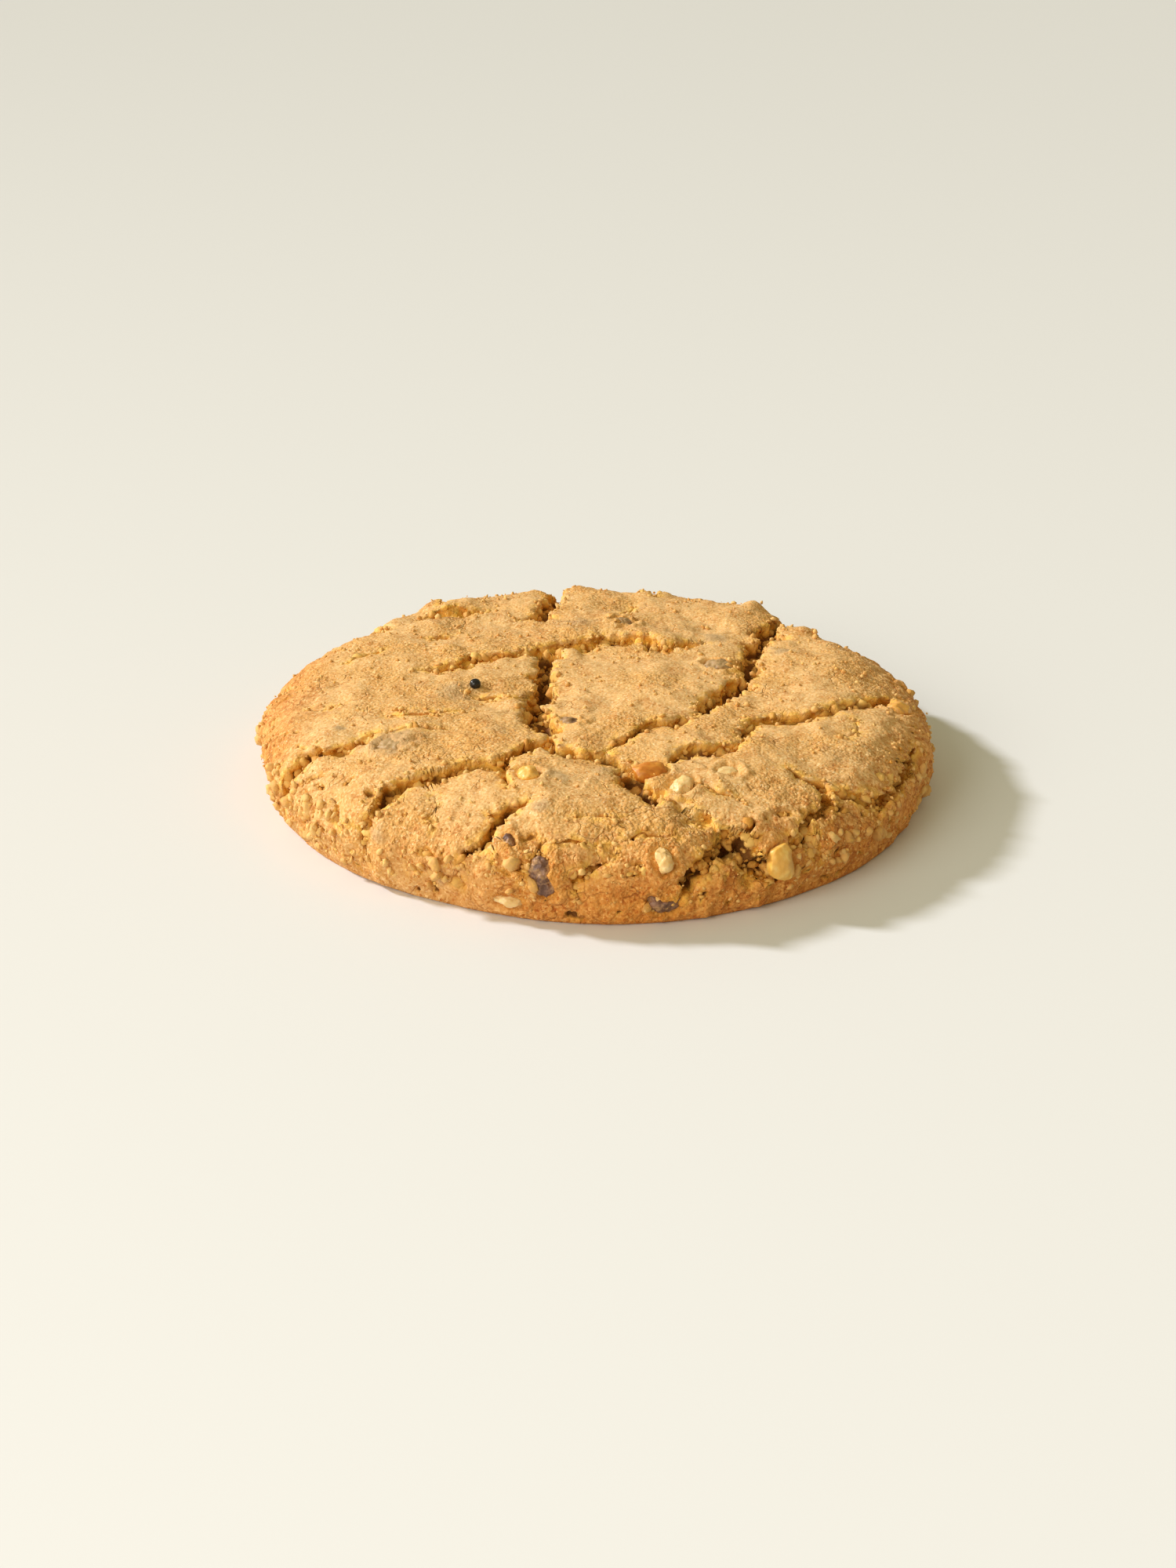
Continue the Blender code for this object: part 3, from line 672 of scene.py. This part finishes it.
def noise_of(tree, place, scale, detail, roughness=0.5):
    """Soft noise from about 0 to 1. The scale is in waves to the metre."""
    kind = "ShaderNodeTexNoise"
    node = feed(tree, kind, Vector=place, Scale=scale, Detail=detail, Roughness=roughness)
    return node.outputs[0]


def blend_of(tree, share, first, second, kind="MIX"):
    node = tree.nodes.new("ShaderNodeMix")
    node.data_type = "RGBA"
    node.blend_type = kind
    for socket, value in zip((node.inputs[0], node.inputs[6], node.inputs[7]), (share, first, second)):
        if isinstance(value, bpy.types.NodeSocket):
            tree.links.new(value, socket)
        else:
            socket.default_value = value
    return node.outputs[2]


def range_of(tree, value, low, high):
    """The value as a share of the way from low to high."""
    node = feed(tree, "ShaderNodeMapRange", Value=value, From_Min=low, From_Max=high)
    node.interpolation_type = "SMOOTHSTEP"
    return node.outputs[0]


def raise_grain(tree, shader, height, strength, distance):
    """Fine relief from a height that runs from 0 to 1."""
    bump = feed(tree, "ShaderNodeBump", Strength=strength, Distance=distance, Height=height)
    tree.links.new(bump.outputs[0], shader.inputs["Normal"])


def let_light_in(shader, weight, radius, depth):
    """Makes a piece slightly see-through, more for red than for blue."""
    shader.inputs["Subsurface Weight"].default_value = weight
    shader.inputs["Subsurface Radius"].default_value = radius
    shader.inputs["Subsurface Scale"].default_value = depth


def mask_from(tree, name):
    node = tree.nodes.new("ShaderNodeAttribute")
    node.attribute_name = name
    return node.outputs["Fac"]


# Tints of the pale and brown grains and of flour dust, painted shade for creases and hollows, and pale
# sugar specks that are partly a painted glint highlight.
GRAIN_PALE = (0.90, 0.62, 0.30, 1.0)
GRAIN_BROWN = (0.78, 0.58, 0.36, 1.0)
DUST_BROWN = (0.90, 0.78, 0.60, 1.0)
DUST_PALE = (1.0, 0.76, 0.42, 1.0)
CREASE_SHADE = (0.74, 0.52, 0.28, 1.0)
HOLLOW_SHADE = (0.66, 0.47, 0.26, 1.0)
SUGAR_AND_GLINT = (1.0, 0.88, 0.66, 1.0)
CREASE_BEND = 3.2 * MM


def baked_grain():
    """Node group: the sandy colour and grain of baked dough, from pale through golden to toasted."""
    group = bpy.data.node_groups.new("baked_grain", "ShaderNodeTree")
    for name, way, kind in (
        ("Place", "INPUT", "NodeSocketVector"),
        ("Pale", "INPUT", "NodeSocketColor"),
        ("Golden", "INPUT", "NodeSocketColor"),
        ("Toasted", "INPUT", "NodeSocketColor"),
        ("Toast", "INPUT", "NodeSocketFloat"),
        ("Rough", "INPUT", "NodeSocketFloat"),
        ("Colour", "OUTPUT", "NodeSocketColor"),
        ("Height", "OUTPUT", "NodeSocketFloat"),
        ("Glint", "OUTPUT", "NodeSocketFloat"),
    ):
        group.interface.new_socket(name, in_out=way, socket_type=kind)
    given = group.nodes.new("NodeGroupInput").outputs
    result = group.nodes.new("NodeGroupOutput").inputs
    place = given["Place"]
    patches = noise_of(group, place, 95.0, 3.0, 0.55)
    blots = noise_of(group, place, 330.0, 4.0, 0.6)
    sand = noise_of(group, place, 1800.0, 2.0, 0.6)
    grain = feed(group, "ShaderNodeTexVoronoi", Vector=place, Scale=2300.0)
    grain.feature = "SMOOTH_F1"
    grain.inputs["Smoothness"].default_value = 0.5
    fleck = feed(group, "ShaderNodeTexVoronoi", Vector=place, Scale=2900.0).outputs["Color"]
    sugar = feed(group, "ShaderNodeTexVoronoi", Vector=place, Scale=1150.0).outputs["Distance"]

    golden = blend_of(group, range_of(group, patches, 0.35, 0.65), given["Pale"], given["Golden"])
    toast = times(group, plus(group, range_of(group, blots, 0.47, 0.78), given["Toast"]), 0.74)
    # Where the crust is rough, its low places between the blots get a painted shade.
    hollow_shade = times(group, range_of(group, blots, 0.50, 0.36), given["Rough"])
    browned = blend_of(group, toast, golden, given["Toasted"])
    contrast = plus(group, 1.0, times(group, given["Rough"], 0.9))
    pale_grain = times(group, range_of(group, fleck, 0.62, 0.9), 0.5)
    pale_grain = times(group, pale_grain, contrast)
    colour = blend_of(group, pale_grain, browned, GRAIN_PALE)
    brown_grain = times(group, range_of(group, fleck, 0.36, 0.12), 0.58)
    brown_grain = times(group, brown_grain, contrast)
    colour = blend_of(group, brown_grain, colour, GRAIN_BROWN, "MULTIPLY")
    dust = noise_of(group, place, 3400.0, 1.0)
    colour = blend_of(group, range_of(group, dust, 0.45, 0.3), colour, DUST_BROWN, "MULTIPLY")
    colour = blend_of(group, times(group, range_of(group, dust, 0.58, 0.7), 0.4), colour, DUST_PALE)

    bent = feed(group, "ShaderNodeTexNoise", Vector=place, Scale=420.0, Detail=2.0).outputs["Color"]
    shifted = group.nodes.new("ShaderNodeVectorMath")
    shifted.operation = "MULTIPLY_ADD"
    group.links.new(bent, shifted.inputs[0])
    shifted.inputs[1].default_value = (CREASE_BEND, CREASE_BEND, CREASE_BEND)
    group.links.new(place, shifted.inputs[2])
    scales = feed(group, "ShaderNodeTexVoronoi", Vector=shifted.outputs[0], Scale=320.0)
    scales.feature = "DISTANCE_TO_EDGE"
    some = noise_of(group, place, 150.0, 2.0)
    line = range_of(group, scales.outputs["Distance"], 0.05, 0.0)
    crease = times(group, line, range_of(group, some, 0.53, 0.66))
    # The creases and the rough crust's low places are darkened, a painted shade.
    colour = blend_of(group, times(group, crease, 0.5), colour, CREASE_SHADE, "MULTIPLY")
    colour = blend_of(group, times(group, hollow_shade, 0.75), colour, HOLLOW_SHADE, "MULTIPLY")
    # Pale sugar specks whose colour is partly a painted glint highlight; they are also smoother.
    glint = range_of(group, sugar, 0.15, 0.05)
    colour = blend_of(group, times(group, glint, 0.55), colour, SUGAR_AND_GLINT)
    group.links.new(colour, result["Colour"])

    height = plus(group, times(group, sand, 0.8), times(group, blots, 0.4))
    height = plus(group, height, times(group, dust, 0.25))
    height = minus(group, height, times(group, crease, 0.9))
    height = minus(group, height, times(group, grain.outputs["Distance"], 0.6))
    coarse = plus(group, 0.45, times(group, range_of(group, patches, 0.4, 0.62), 0.8))
    height = times(group, height, coarse)
    height = times(group, height, contrast)
    group.links.new(height, result["Height"])
    group.links.new(glint, result["Glint"])
    return group


GRAIN = baked_grain()
CRUST_PALE = (0.74, 0.455, 0.185, 1.0)
CRUST_GOLDEN = (0.69, 0.375, 0.11, 1.0)
CRUST_TOASTED = (0.50, 0.20, 0.032, 1.0)
CRUST_SIDE = (0.96, 0.68, 0.36, 1.0)
CRUMB_LIGHT = (0.92, 0.53, 0.09, 1.0)
CRUMB_AMBER = (0.74, 0.31, 0.025, 1.0)
# CRACK_SHADE is a painted shade for the deepest parts of the cracks and pits.
CRACK_SHADE = (0.13, 0.036, 0.004, 1.0)
VEIL_GREY = (0.38, 0.28, 0.16, 1.0)

# The foot of the side is toasted, from the first height above the floor down to the second.
FOOT_HEIGHTS = (1.2 * MM, 0.1 * MM)
FOOT_TOAST = 0.5


def dough_material():
    material, tree, shader = new_material("baked_dough")
    place = tree.nodes.new("ShaderNodeTexCoord").outputs["Object"]
    grain = tree.nodes.new("ShaderNodeGroup")
    grain.node_tree = GRAIN
    tree.links.new(place, grain.inputs["Place"])
    grain.inputs["Pale"].default_value = CRUST_PALE
    grain.inputs["Golden"].default_value = CRUST_GOLDEN
    grain.inputs["Toasted"].default_value = CRUST_TOASTED
    height_above = feed(tree, "ShaderNodeSeparateXYZ", Vector=place).outputs["Z"]
    foot = times(tree, range_of(tree, height_above, *FOOT_HEIGHTS), mask_from(tree, "side"))
    tree.links.new(times(tree, foot, FOOT_TOAST), grain.inputs["Toast"])
    tree.links.new(mask_from(tree, "rough"), grain.inputs["Rough"])

    crumb_mottle = noise_of(tree, place, 700.0, 3.0)
    crumb_colour = blend_of(tree, range_of(tree, crumb_mottle, 0.35, 0.65), CRUMB_LIGHT, CRUMB_AMBER)
    # The side mask browns the side, and on the left-facing rim it also adds a painted shade.
    colour = blend_of(tree, mask_from(tree, "side"), grain.outputs["Colour"], CRUST_SIDE, "MULTIPLY")
    colour = blend_of(tree, mask_from(tree, "crumb"), colour, crumb_colour)
    # The deepest parts of the cracks and pits are darkened, a painted shade.
    deep = range_of(tree, mask_from(tree, "deep"), 0.38, 0.90)
    colour = blend_of(tree, times(tree, deep, 0.92), colour, CRACK_SHADE)
    ragged = times(tree, mask_from(tree, "lip"), range_of(tree, crumb_mottle, 0.42, 0.6))
    colour = blend_of(tree, times(tree, ragged, 0.7), colour, CRUMB_LIGHT)
    colour = blend_of(tree, times(tree, mask_from(tree, "nest"), 0.35), colour, CRUMB_AMBER)
    colour = blend_of(tree, times(tree, mask_from(tree, "veil"), 0.7), colour, VEIL_GREY)
    tree.links.new(colour, shader.inputs["Base Color"])
    roughness = minus(tree, 0.82, times(tree, grain.outputs["Glint"], 0.5))
    tree.links.new(roughness, shader.inputs["Roughness"])
    raise_grain(tree, shader, grain.outputs["Height"], 0.62, 0.32 * MM)
    shader.inputs["Specular IOR Level"].default_value = 0.35
    let_light_in(shader, 0.05, (1.0, 0.45, 0.15), 0.8 * MM)
    return material


def show(name, mesh, material):
    """Links a finished mesh as a piece at the origin."""
    piece = bpy.data.objects.new(name, mesh)
    mesh.materials.clear()
    mesh.materials.append(material)
    bpy.context.scene.collection.objects.link(piece)
    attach(piece, "root")
    return piece


dough_mesh, skin_points, crack_depth, crack_edge, skin_walk, skin_places = bake_dough()
dough = show("dough", dough_mesh, dough_material())
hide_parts("cookie")


# The crumbs: bits of broken crust and baked flour that cling in the cracks, along their lips and over
# the top. Each is a small uneven ball pressed into the dough, and all of one kind are one mesh.
# Given for each kind: how many, how finely each is faceted, and the smallest and largest radius.
CRACK_CRUMBS = (2400, 2, 0.22 * MM, 0.85 * MM)
LIP_CRUMBS = (1300, 1, 0.12 * MM, 0.50 * MM)
CRUST_CRUMBS = (1500, 1, 0.09 * MM, 0.36 * MM)
SIDE_CRUMBS = (450, 1, 0.10 * MM, 0.34 * MM)
CAVITY_CRUMBS = (45, 2, 0.40 * MM, 1.10 * MM)
FOOT_CRUMBS = (520, 2, 0.22 * MM, 0.85 * MM)

# Foot crumbs lie between two walks, in patches and more on the front left. Cavity crumbs lie round one
# place, crust crumbs in patches, crack crumbs from a depth on, and lip crumbs along the edge.
FOOT_WALKS = (45.5 * MM, 51.5 * MM)
CAVITY_MIDDLE = (20.6 * MM, -41.6 * MM)
CAVITY_REACH = 8.0 * MM
FOOT_PATCH = 7.0 * MM
FOOT_MORE_LEFT = 0.35
FOOT_LEAST = 0.15
CRUST_PATCH = 5.0 * MM
CRUST_LEAST = 0.05
CLEAR_OF_FLOOR = 2.5 * MM
IN_CRACK = 0.5 * MM
DEEP_IN_CAVITY = 1.2 * MM
LIP_BAND = (-0.1 * MM, 0.9 * MM)

# Small crumbs are commoner than large ones, each is uneven, and some stand off the skin.
SMALL_BIAS = 2.2
GRANULE_SHAPE = (0.5, 1.35)
GRANULE_BUMPS = (0.68, 1.25)
STRAY = 0.12 * MM
CRUMB_PALE = (0.80, 0.50, 0.18, 1.0)
CRUMB_TOASTED = (0.64, 0.32, 0.08, 1.0)
CRACK_CRUMB_PALE = (0.82, 0.50, 0.14, 1.0)
CRACK_CRUMB_TOASTED = (0.56, 0.24, 0.03, 1.0)


def granule(detail):
    """Points and faces of a ball of radius 1."""
    bm = bmesh.new()
    bmesh.ops.create_icosphere(bm, subdivisions=detail, radius=1.0)
    points = np.array([v.co[:] for v in bm.verts])
    faces = np.array([[v.index for v in f.verts] for f in bm.faces])
    bm.free()
    return points, faces


def scatter(name, spots, count, detail, smallest, largest, seed):
    """One mesh of uneven granules on spots of the skin, each with a tone of its own."""
    draw = np.random.default_rng(seed)
    ball, faces = granule(detail)
    chosen = draw.choice(spots, count, replace=len(spots) < count)
    size = smallest + (largest - smallest) * draw.random(count) ** SMALL_BIAS
    shape = draw.uniform(*GRANULE_SHAPE, (count, 1, 3))
    bumps = draw.uniform(*GRANULE_BUMPS, (count, len(ball), 1))
    turned = np.array([np.array(Euler(draw.uniform(0, math.tau, 3)).to_matrix()) for _ in range(count)])
    balls = (ball[None] * shape * bumps * size[:, None, None]) @ turned
    middles = skin_points[chosen] + draw.normal(0.0, STRAY, (count, 3))
    points = balls + middles[:, None]
    points[..., 2] = np.maximum(points[..., 2], 0.0)
    indices = faces[None] + (np.arange(count) * len(ball))[:, None, None]
    mesh = bpy.data.meshes.new(name)
    mesh.from_pydata(points.reshape(-1, 3), [], indices.reshape(-1, 3).tolist())
    mesh.shade_smooth()
    float_attribute(mesh, "tone", np.repeat(draw.random(count), len(ball)))
    return mesh


def crumb_material(name, pale, toasted):
    material, tree, shader = new_material(name)
    place = tree.nodes.new("ShaderNodeTexCoord").outputs["Object"]
    mottle = noise_of(tree, place, 2600.0, 2.0)
    colour = blend_of(tree, mask_from(tree, "tone"), pale, toasted)
    colour = blend_of(tree, times(tree, range_of(tree, mottle, 0.5, 0.75), 0.5), colour, CRUMB_LIGHT)
    tree.links.new(colour, shader.inputs["Base Color"])
    raise_grain(tree, shader, mottle, 0.5, 0.15 * MM)
    shader.inputs["Roughness"].default_value = 0.7
    shader.inputs["Specular IOR Level"].default_value = 0.4
    return material


loose_crumb = crumb_material("loose_crumb", CRUMB_PALE, CRUMB_TOASTED)
crack_crumb = crumb_material("crack_crumb", CRACK_CRUMB_PALE, CRACK_CRUMB_TOASTED)
on_top = skin_walk < SKIN_REACH - CLEAR_OF_FLOOR
on_crust = on_top & (crack_edge > LIP_BAND[1])
on_lip = on_top & (crack_edge > LIP_BAND[0]) & (crack_edge < LIP_BAND[1])
on_side = on_crust & (skin_walk > SIDE_FULL - 6.0 * MM)
in_cavity = np.linalg.norm(skin_places - CAVITY_MIDDLE, axis=1) < CAVITY_REACH
on_foot = (skin_walk > FOOT_WALKS[0]) & (skin_walk < FOOT_WALKS[1])
front_left = (skin_places[:, 0] < 0.0) & (skin_places[:, 1] < 0.0)
on_foot &= swell(skin_places, FOOT_PATCH, 38) + FOOT_MORE_LEFT * front_left > FOOT_LEAST
crumbly = swell(skin_places, CRUST_PATCH, 39) > CRUST_LEAST
crumb_kinds = {
    "crack_crumbs": ((crack_depth > IN_CRACK) & on_top, CRACK_CRUMBS, crack_crumb),
    "lip_crumbs": (on_lip, LIP_CRUMBS, loose_crumb),
    "crust_crumbs": (on_crust & crumbly, CRUST_CRUMBS, loose_crumb),
    "side_crumbs": (on_side, SIDE_CRUMBS, loose_crumb),
    "cavity_crumbs": ((crack_depth > DEEP_IN_CAVITY) & in_cavity, CAVITY_CRUMBS, crack_crumb),
    "foot_crumbs": (on_foot, FOOT_CRUMBS, loose_crumb),
}
for seed, (name, (where, amounts, material)) in enumerate(crumb_kinds.items(), start=5):
    piece = show(name, scatter(name, np.flatnonzero(where), *amounts, seed), material)


# The raisins: dried grapes with folded, leathery skins, sunk in the dough and dusted with it.
# Each starts from its own solid, which is made finer and given its small wrinkles.
RAISIN_SKIN = (0.115, 0.047, 0.026, 1.0)
# The skin is lighter on the ridges of its folds than in the folds, a painted highlight and painted
# shade.
RAISIN_LIT_RIDGE = (0.29, 0.145, 0.085, 1.0)
RAISIN_DUST = (0.48, 0.27, 0.12, 1.0)
RAISIN_VEIL = (0.44, 0.28, 0.12, 1.0)
RAISIN_WRINKLES = [(0.22 * MM, 0.9 * MM), (0.10 * MM, 0.42 * MM)]


def finer_copy(node, rounds, softness):
    """The node's own mesh with its loose triangles joined, made finer and a little rounder."""
    bm = bmesh.new()
    bm.from_mesh(node.data)
    bmesh.ops.remove_doubles(bm, verts=bm.verts[:], dist=0.001 * MM)
    for _ in range(rounds):
        bmesh.ops.subdivide_edges(bm, edges=bm.edges[:], cuts=1, use_grid_fill=True)
        bmesh.ops.smooth_vert(
            bm, verts=bm.verts[:], factor=softness, use_axis_x=True, use_axis_y=True, use_axis_z=True
        )
    bm.normal_update()
    return bm


def wrinkled(node):
    bm = finer_copy(node, 2, 0.5)
    moves = []
    for vert in bm.verts:
        fold = 0.0
        for amount, spacing in RAISIN_WRINKLES:
            fold += amount * (0.5 - 1.6 * abs(noise.noise(vert.co / spacing)))
        moves.append(vert.normal * fold)
    for vert, move in zip(bm.verts, moves):
        vert.co += move
    return bm


def raisin_material():
    material, tree, shader = new_material("raisin_skin")
    place = tree.nodes.new("ShaderNodeTexCoord").outputs["Object"]
    folds = noise_of(tree, place, 1100.0, 4.0, 0.6)
    dust = noise_of(tree, place, 620.0, 4.0, 0.7)
    # Lighter on the fold ridges and darker between them: a painted highlight and painted shade.
    colour = blend_of(tree, range_of(tree, folds, 0.42, 0.66), RAISIN_SKIN, RAISIN_LIT_RIDGE)
    colour = blend_of(tree, range_of(tree, dust, 0.46, 0.66), colour, RAISIN_DUST)
    veil = plus(tree, mask_from(tree, "veiled"), minus(tree, folds, 0.5))
    colour = blend_of(tree, range_of(tree, veil, 0.15, 0.75), colour, RAISIN_VEIL)
    tree.links.new(colour, shader.inputs["Base Color"])
    roughness = plus(tree, 0.33, times(tree, dust, 0.4))
    tree.links.new(roughness, shader.inputs["Roughness"])
    raise_grain(tree, shader, folds, 0.5, 0.2 * MM)
    let_light_in(shader, 0.1, (1.0, 0.3, 0.2), 0.8 * MM)
    return material


def carry_over(name, bm, material):
    """Shows a bmesh as the piece that stands for a node."""
    mesh = bpy.data.meshes.new(name + "_piece")
    bm.to_mesh(mesh)
    bm.free()
    mesh.shade_smooth()
    piece = show(name + "_piece", mesh, material)
    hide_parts(name)
    return piece


VEILED = {"raisin_left": 0.9, "raisin_centre": 0.4, "raisin_back": 0.5, "raisin_back_right": 0.6}

raisin_skin = raisin_material()
for name in [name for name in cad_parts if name.startswith("raisin")]:
    piece = carry_over(name, wrinkled(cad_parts[name]), raisin_skin)
    float_attribute(piece.data, "veiled", np.full(len(piece.data.vertices), VEILED.get(name, 0.0)))


# The chopped nuts: pale, waxy, slightly see-through pieces with flat cut faces and rough ends.
# The almond keeps its brown skin on the side that shows.
NUT_FLESH = (0.76, 0.50, 0.20, 1.0)
NUT_CREAM = (0.84, 0.60, 0.29, 1.0)
NUT_HONEY = (0.78, 0.42, 0.075, 1.0)
NUT_BUTTER = (0.86, 0.56, 0.16, 1.0)
NUT_TOASTED = (0.68, 0.34, 0.08, 1.0)
NUT_AMBER = (0.40, 0.17, 0.03, 1.0)
ALMOND_SKIN = (0.52, 0.17, 0.015, 1.0)
ALMOND_STREAK = (0.72, 0.30, 0.04, 1.0)
NUT_CHIPS = [(0.60 * MM, 2.2 * MM), (0.22 * MM, 0.9 * MM), (0.07 * MM, 0.35 * MM)]
NUT_CHIP_LIMIT = 0.16 * MM

# These are chipped less than the rest, by this share.
NUT_CALM = {"nut_half": 0.4, "nut_flake": 0.4, "almond_chunk": 0.5}


def chopped(node, share):
    bm = finer_copy(node, 3, 0.12)
    moves = []
    for vert in bm.verts:
        chip = share * sum(amount * noise.noise(vert.co / spacing) for amount, spacing in NUT_CHIPS)
        moves.append(vert.normal * min(chip, NUT_CHIP_LIMIT))
    for vert, move in zip(bm.verts, moves):
        vert.co += move
    return bm


def nut_material(name, body, streak, toast):
    material, tree, shader = new_material(name)
    place = tree.nodes.new("ShaderNodeTexCoord").outputs["Object"]
    stretched = feed(tree, "ShaderNodeMapping", Vector=place, Scale=(1.0, 2.6, 1.0)).outputs[0]
    streaks = noise_of(tree, stretched, 700.0, 4.0)
    scorch = noise_of(tree, place, 420.0, 2.0)
    colour = blend_of(tree, range_of(tree, streaks, 0.4, 0.66), body, streak)
    colour = blend_of(tree, times(tree, range_of(tree, scorch, 0.55, 0.75), 0.6), colour, toast)
    tree.links.new(colour, shader.inputs["Base Color"])
    raise_grain(tree, shader, streaks, 0.35, 0.2 * MM)
    shader.inputs["Roughness"].default_value = 0.42
    let_light_in(shader, 0.25, (1.0, 0.6, 0.25), 1.0 * MM)
    return material


nut_cream = nut_material("nut_cream", NUT_FLESH, NUT_CREAM, NUT_HONEY)
nut_honey = nut_material("nut_honey", NUT_HONEY, NUT_BUTTER, NUT_TOASTED)
nut_scorched = nut_material("nut_scorched", NUT_HONEY, NUT_BUTTER, NUT_AMBER)
nut_amber = nut_material("nut_amber", NUT_TOASTED, NUT_HONEY, NUT_AMBER)
almond_skin = nut_material("almond_skin", ALMOND_SKIN, ALMOND_STREAK, NUT_TOASTED)
NUT_TONES = {"nut_nugget": nut_honey, "nut_half": nut_scorched, "nut_rim": nut_amber}
for name in [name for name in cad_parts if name.startswith("nut")]:
    shape = chopped(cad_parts[name], NUT_CALM.get(name, 1.0))
    carry_over(name, shape, NUT_TONES.get(name, nut_cream))
almond = chopped(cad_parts["almond_chunk"], NUT_CALM["almond_chunk"])
carry_over("almond_chunk", almond, almond_skin)


# The black seed: one small round glossy seed that sits on the crust, left of the middle.
SEED_PLACE = (-16.2 * MM, -2.3 * MM)
SEED_RADIUS = 0.75 * MM
SEED_PROUD = 0.80
SEED_UNEVEN = (0.05, 0.5 * MM)
SEED_BLACK = (0.006, 0.006, 0.007, 1.0)
SEED_WORN = (0.020, 0.016, 0.015, 1.0)


def seed_mesh():
    spot = np.array([SEED_PLACE])
    points, normals = wrap(spot)
    out = Vector(normals[0])
    rise = relief(spot)[0][0] + (2.0 * SEED_PROUD - 1.0) * SEED_RADIUS
    centre = Vector(points[0]) + out * rise
    at_centre = Matrix.Translation(centre)
    bm = bmesh.new()
    bmesh.ops.create_icosphere(bm, subdivisions=4, radius=SEED_RADIUS, matrix=at_centre)
    for vert in bm.verts:
        vert.co += (vert.co - centre) * SEED_UNEVEN[0] * noise.noise(vert.co / SEED_UNEVEN[1])
    mesh = bpy.data.meshes.new("black_seed")
    bm.to_mesh(mesh)
    bm.free()
    mesh.shade_smooth()
    return mesh


def seed_material():
    material, tree, shader = new_material("seed_coat")
    place = tree.nodes.new("ShaderNodeTexCoord").outputs["Object"]
    pits = feed(tree, "ShaderNodeTexVoronoi", Vector=place, Scale=5200.0).outputs["Distance"]
    colour = blend_of(tree, range_of(tree, pits, 0.2, 0.6), SEED_BLACK, SEED_WORN)
    tree.links.new(colour, shader.inputs["Base Color"])
    raise_grain(tree, shader, pits, 0.2, 0.05 * MM)
    shader.inputs["Roughness"].default_value = 0.22
    shader.inputs["Specular IOR Level"].default_value = 0.35
    return material


black_seed = show("black_seed", seed_mesh(), seed_material())


# The pale floor, and the light: one lamp low on the left and a little behind, which rakes the crust,
# a broad soft one in front on the left, and the faint warm light of a pale room.
FLOOR_WIDTH = 6.0
FLOOR_DROP = -0.02 * MM
FLOOR_COLOUR = (0.77, 0.78, 0.80, 1.0)
KEY_AZIMUTH = math.radians(161.0)
KEY_ELEVATION = math.radians(31.0)
KEY_STRENGTH = 3.26
KEY_COLOUR = (0.97, 0.965, 1.0)
KEY_SOFTNESS = math.radians(7.0)
SOFT_PLACE = (-0.56, -0.62, 0.40)
SOFT_WIDTH = 0.6
SOFT_POWER = 4.5
SOFT_COLOUR = (1.0, 0.93, 0.82)
ROOM_LIGHT = (1.0, 0.90, 0.54, 1.0)
ROOM_STRENGTH = 0.43

bm = bmesh.new()
bmesh.ops.create_grid(bm, size=FLOOR_WIDTH / 2, matrix=Matrix.Translation((0.0, 0.0, FLOOR_DROP)))
floor_mesh = bpy.data.meshes.new("floor")
bm.to_mesh(floor_mesh)
bm.free()
floor_material, _, floor_shader = new_material("floor")
floor_shader.inputs["Base Color"].default_value = FLOOR_COLOUR
floor_shader.inputs["Roughness"].default_value = 0.6
floor_shader.inputs["Specular IOR Level"].default_value = 0.25
floor_mesh.materials.append(floor_material)
floor = bpy.data.objects.new("floor", floor_mesh)
bpy.context.scene.collection.objects.link(floor)


def lamp(name, kind, place, strength, colour):
    light = bpy.data.lights.new(name, kind)
    light.energy = strength
    light.color = colour
    holder = bpy.data.objects.new(name, light)
    holder.location = place
    holder.rotation_euler = Vector(place).to_track_quat("Z", "Y").to_euler()
    bpy.context.scene.collection.objects.link(holder)
    return light


key_flat = math.cos(KEY_ELEVATION)
key_east = key_flat * math.cos(KEY_AZIMUTH)
key_north = key_flat * math.sin(KEY_AZIMUTH)
key_place = (key_east, key_north, math.sin(KEY_ELEVATION))
key = lamp("key_lamp", "SUN", key_place, KEY_STRENGTH, KEY_COLOUR)
key.angle = KEY_SOFTNESS
soft = lamp("soft_lamp", "AREA", SOFT_PLACE, SOFT_POWER, SOFT_COLOUR)
soft.shape = "DISK"
soft.size = SOFT_WIDTH

room = bpy.data.worlds.new("room")
room.use_nodes = True
room.node_tree.nodes["Background"].inputs["Color"].default_value = ROOM_LIGHT
room.node_tree.nodes["Background"].inputs["Strength"].default_value = ROOM_STRENGTH
bpy.context.scene.world = room
bpy.context.scene.view_settings.view_transform = "Standard"


# The camera stands in front of the cookie, a little above it, as in the photograph.
CAMERA_DISTANCE = 0.320
CAMERA_ELEVATION = math.radians(24.6)
CAMERA_ROLL = math.radians(0.8)
CAMERA_AIM = (-0.85 * MM, -2.02 * MM)
CAMERA_LENS = 54.1

level = math.cos(CAMERA_ELEVATION)
rise = math.sin(CAMERA_ELEVATION)
camera_place = Vector((0.0, -CAMERA_DISTANCE * level, CAMERA_DISTANCE * rise))
aim = Vector((CAMERA_AIM[0], CAMERA_AIM[1] * rise, CAMERA_AIM[1] * level))
camera_data = bpy.data.cameras.new("camera")
camera_data.lens = CAMERA_LENS
camera_data.sensor_width = 36.0
camera_data.clip_start = 0.01
camera = bpy.data.objects.new("camera", camera_data)
turn = (camera_place - aim).to_track_quat("Z", "Y").to_matrix().to_4x4()
camera.matrix_world = Matrix.Translation(camera_place) @ turn @ Matrix.Rotation(CAMERA_ROLL, 4, "Z")
bpy.context.scene.collection.objects.link(camera)
bpy.context.scene.camera = camera
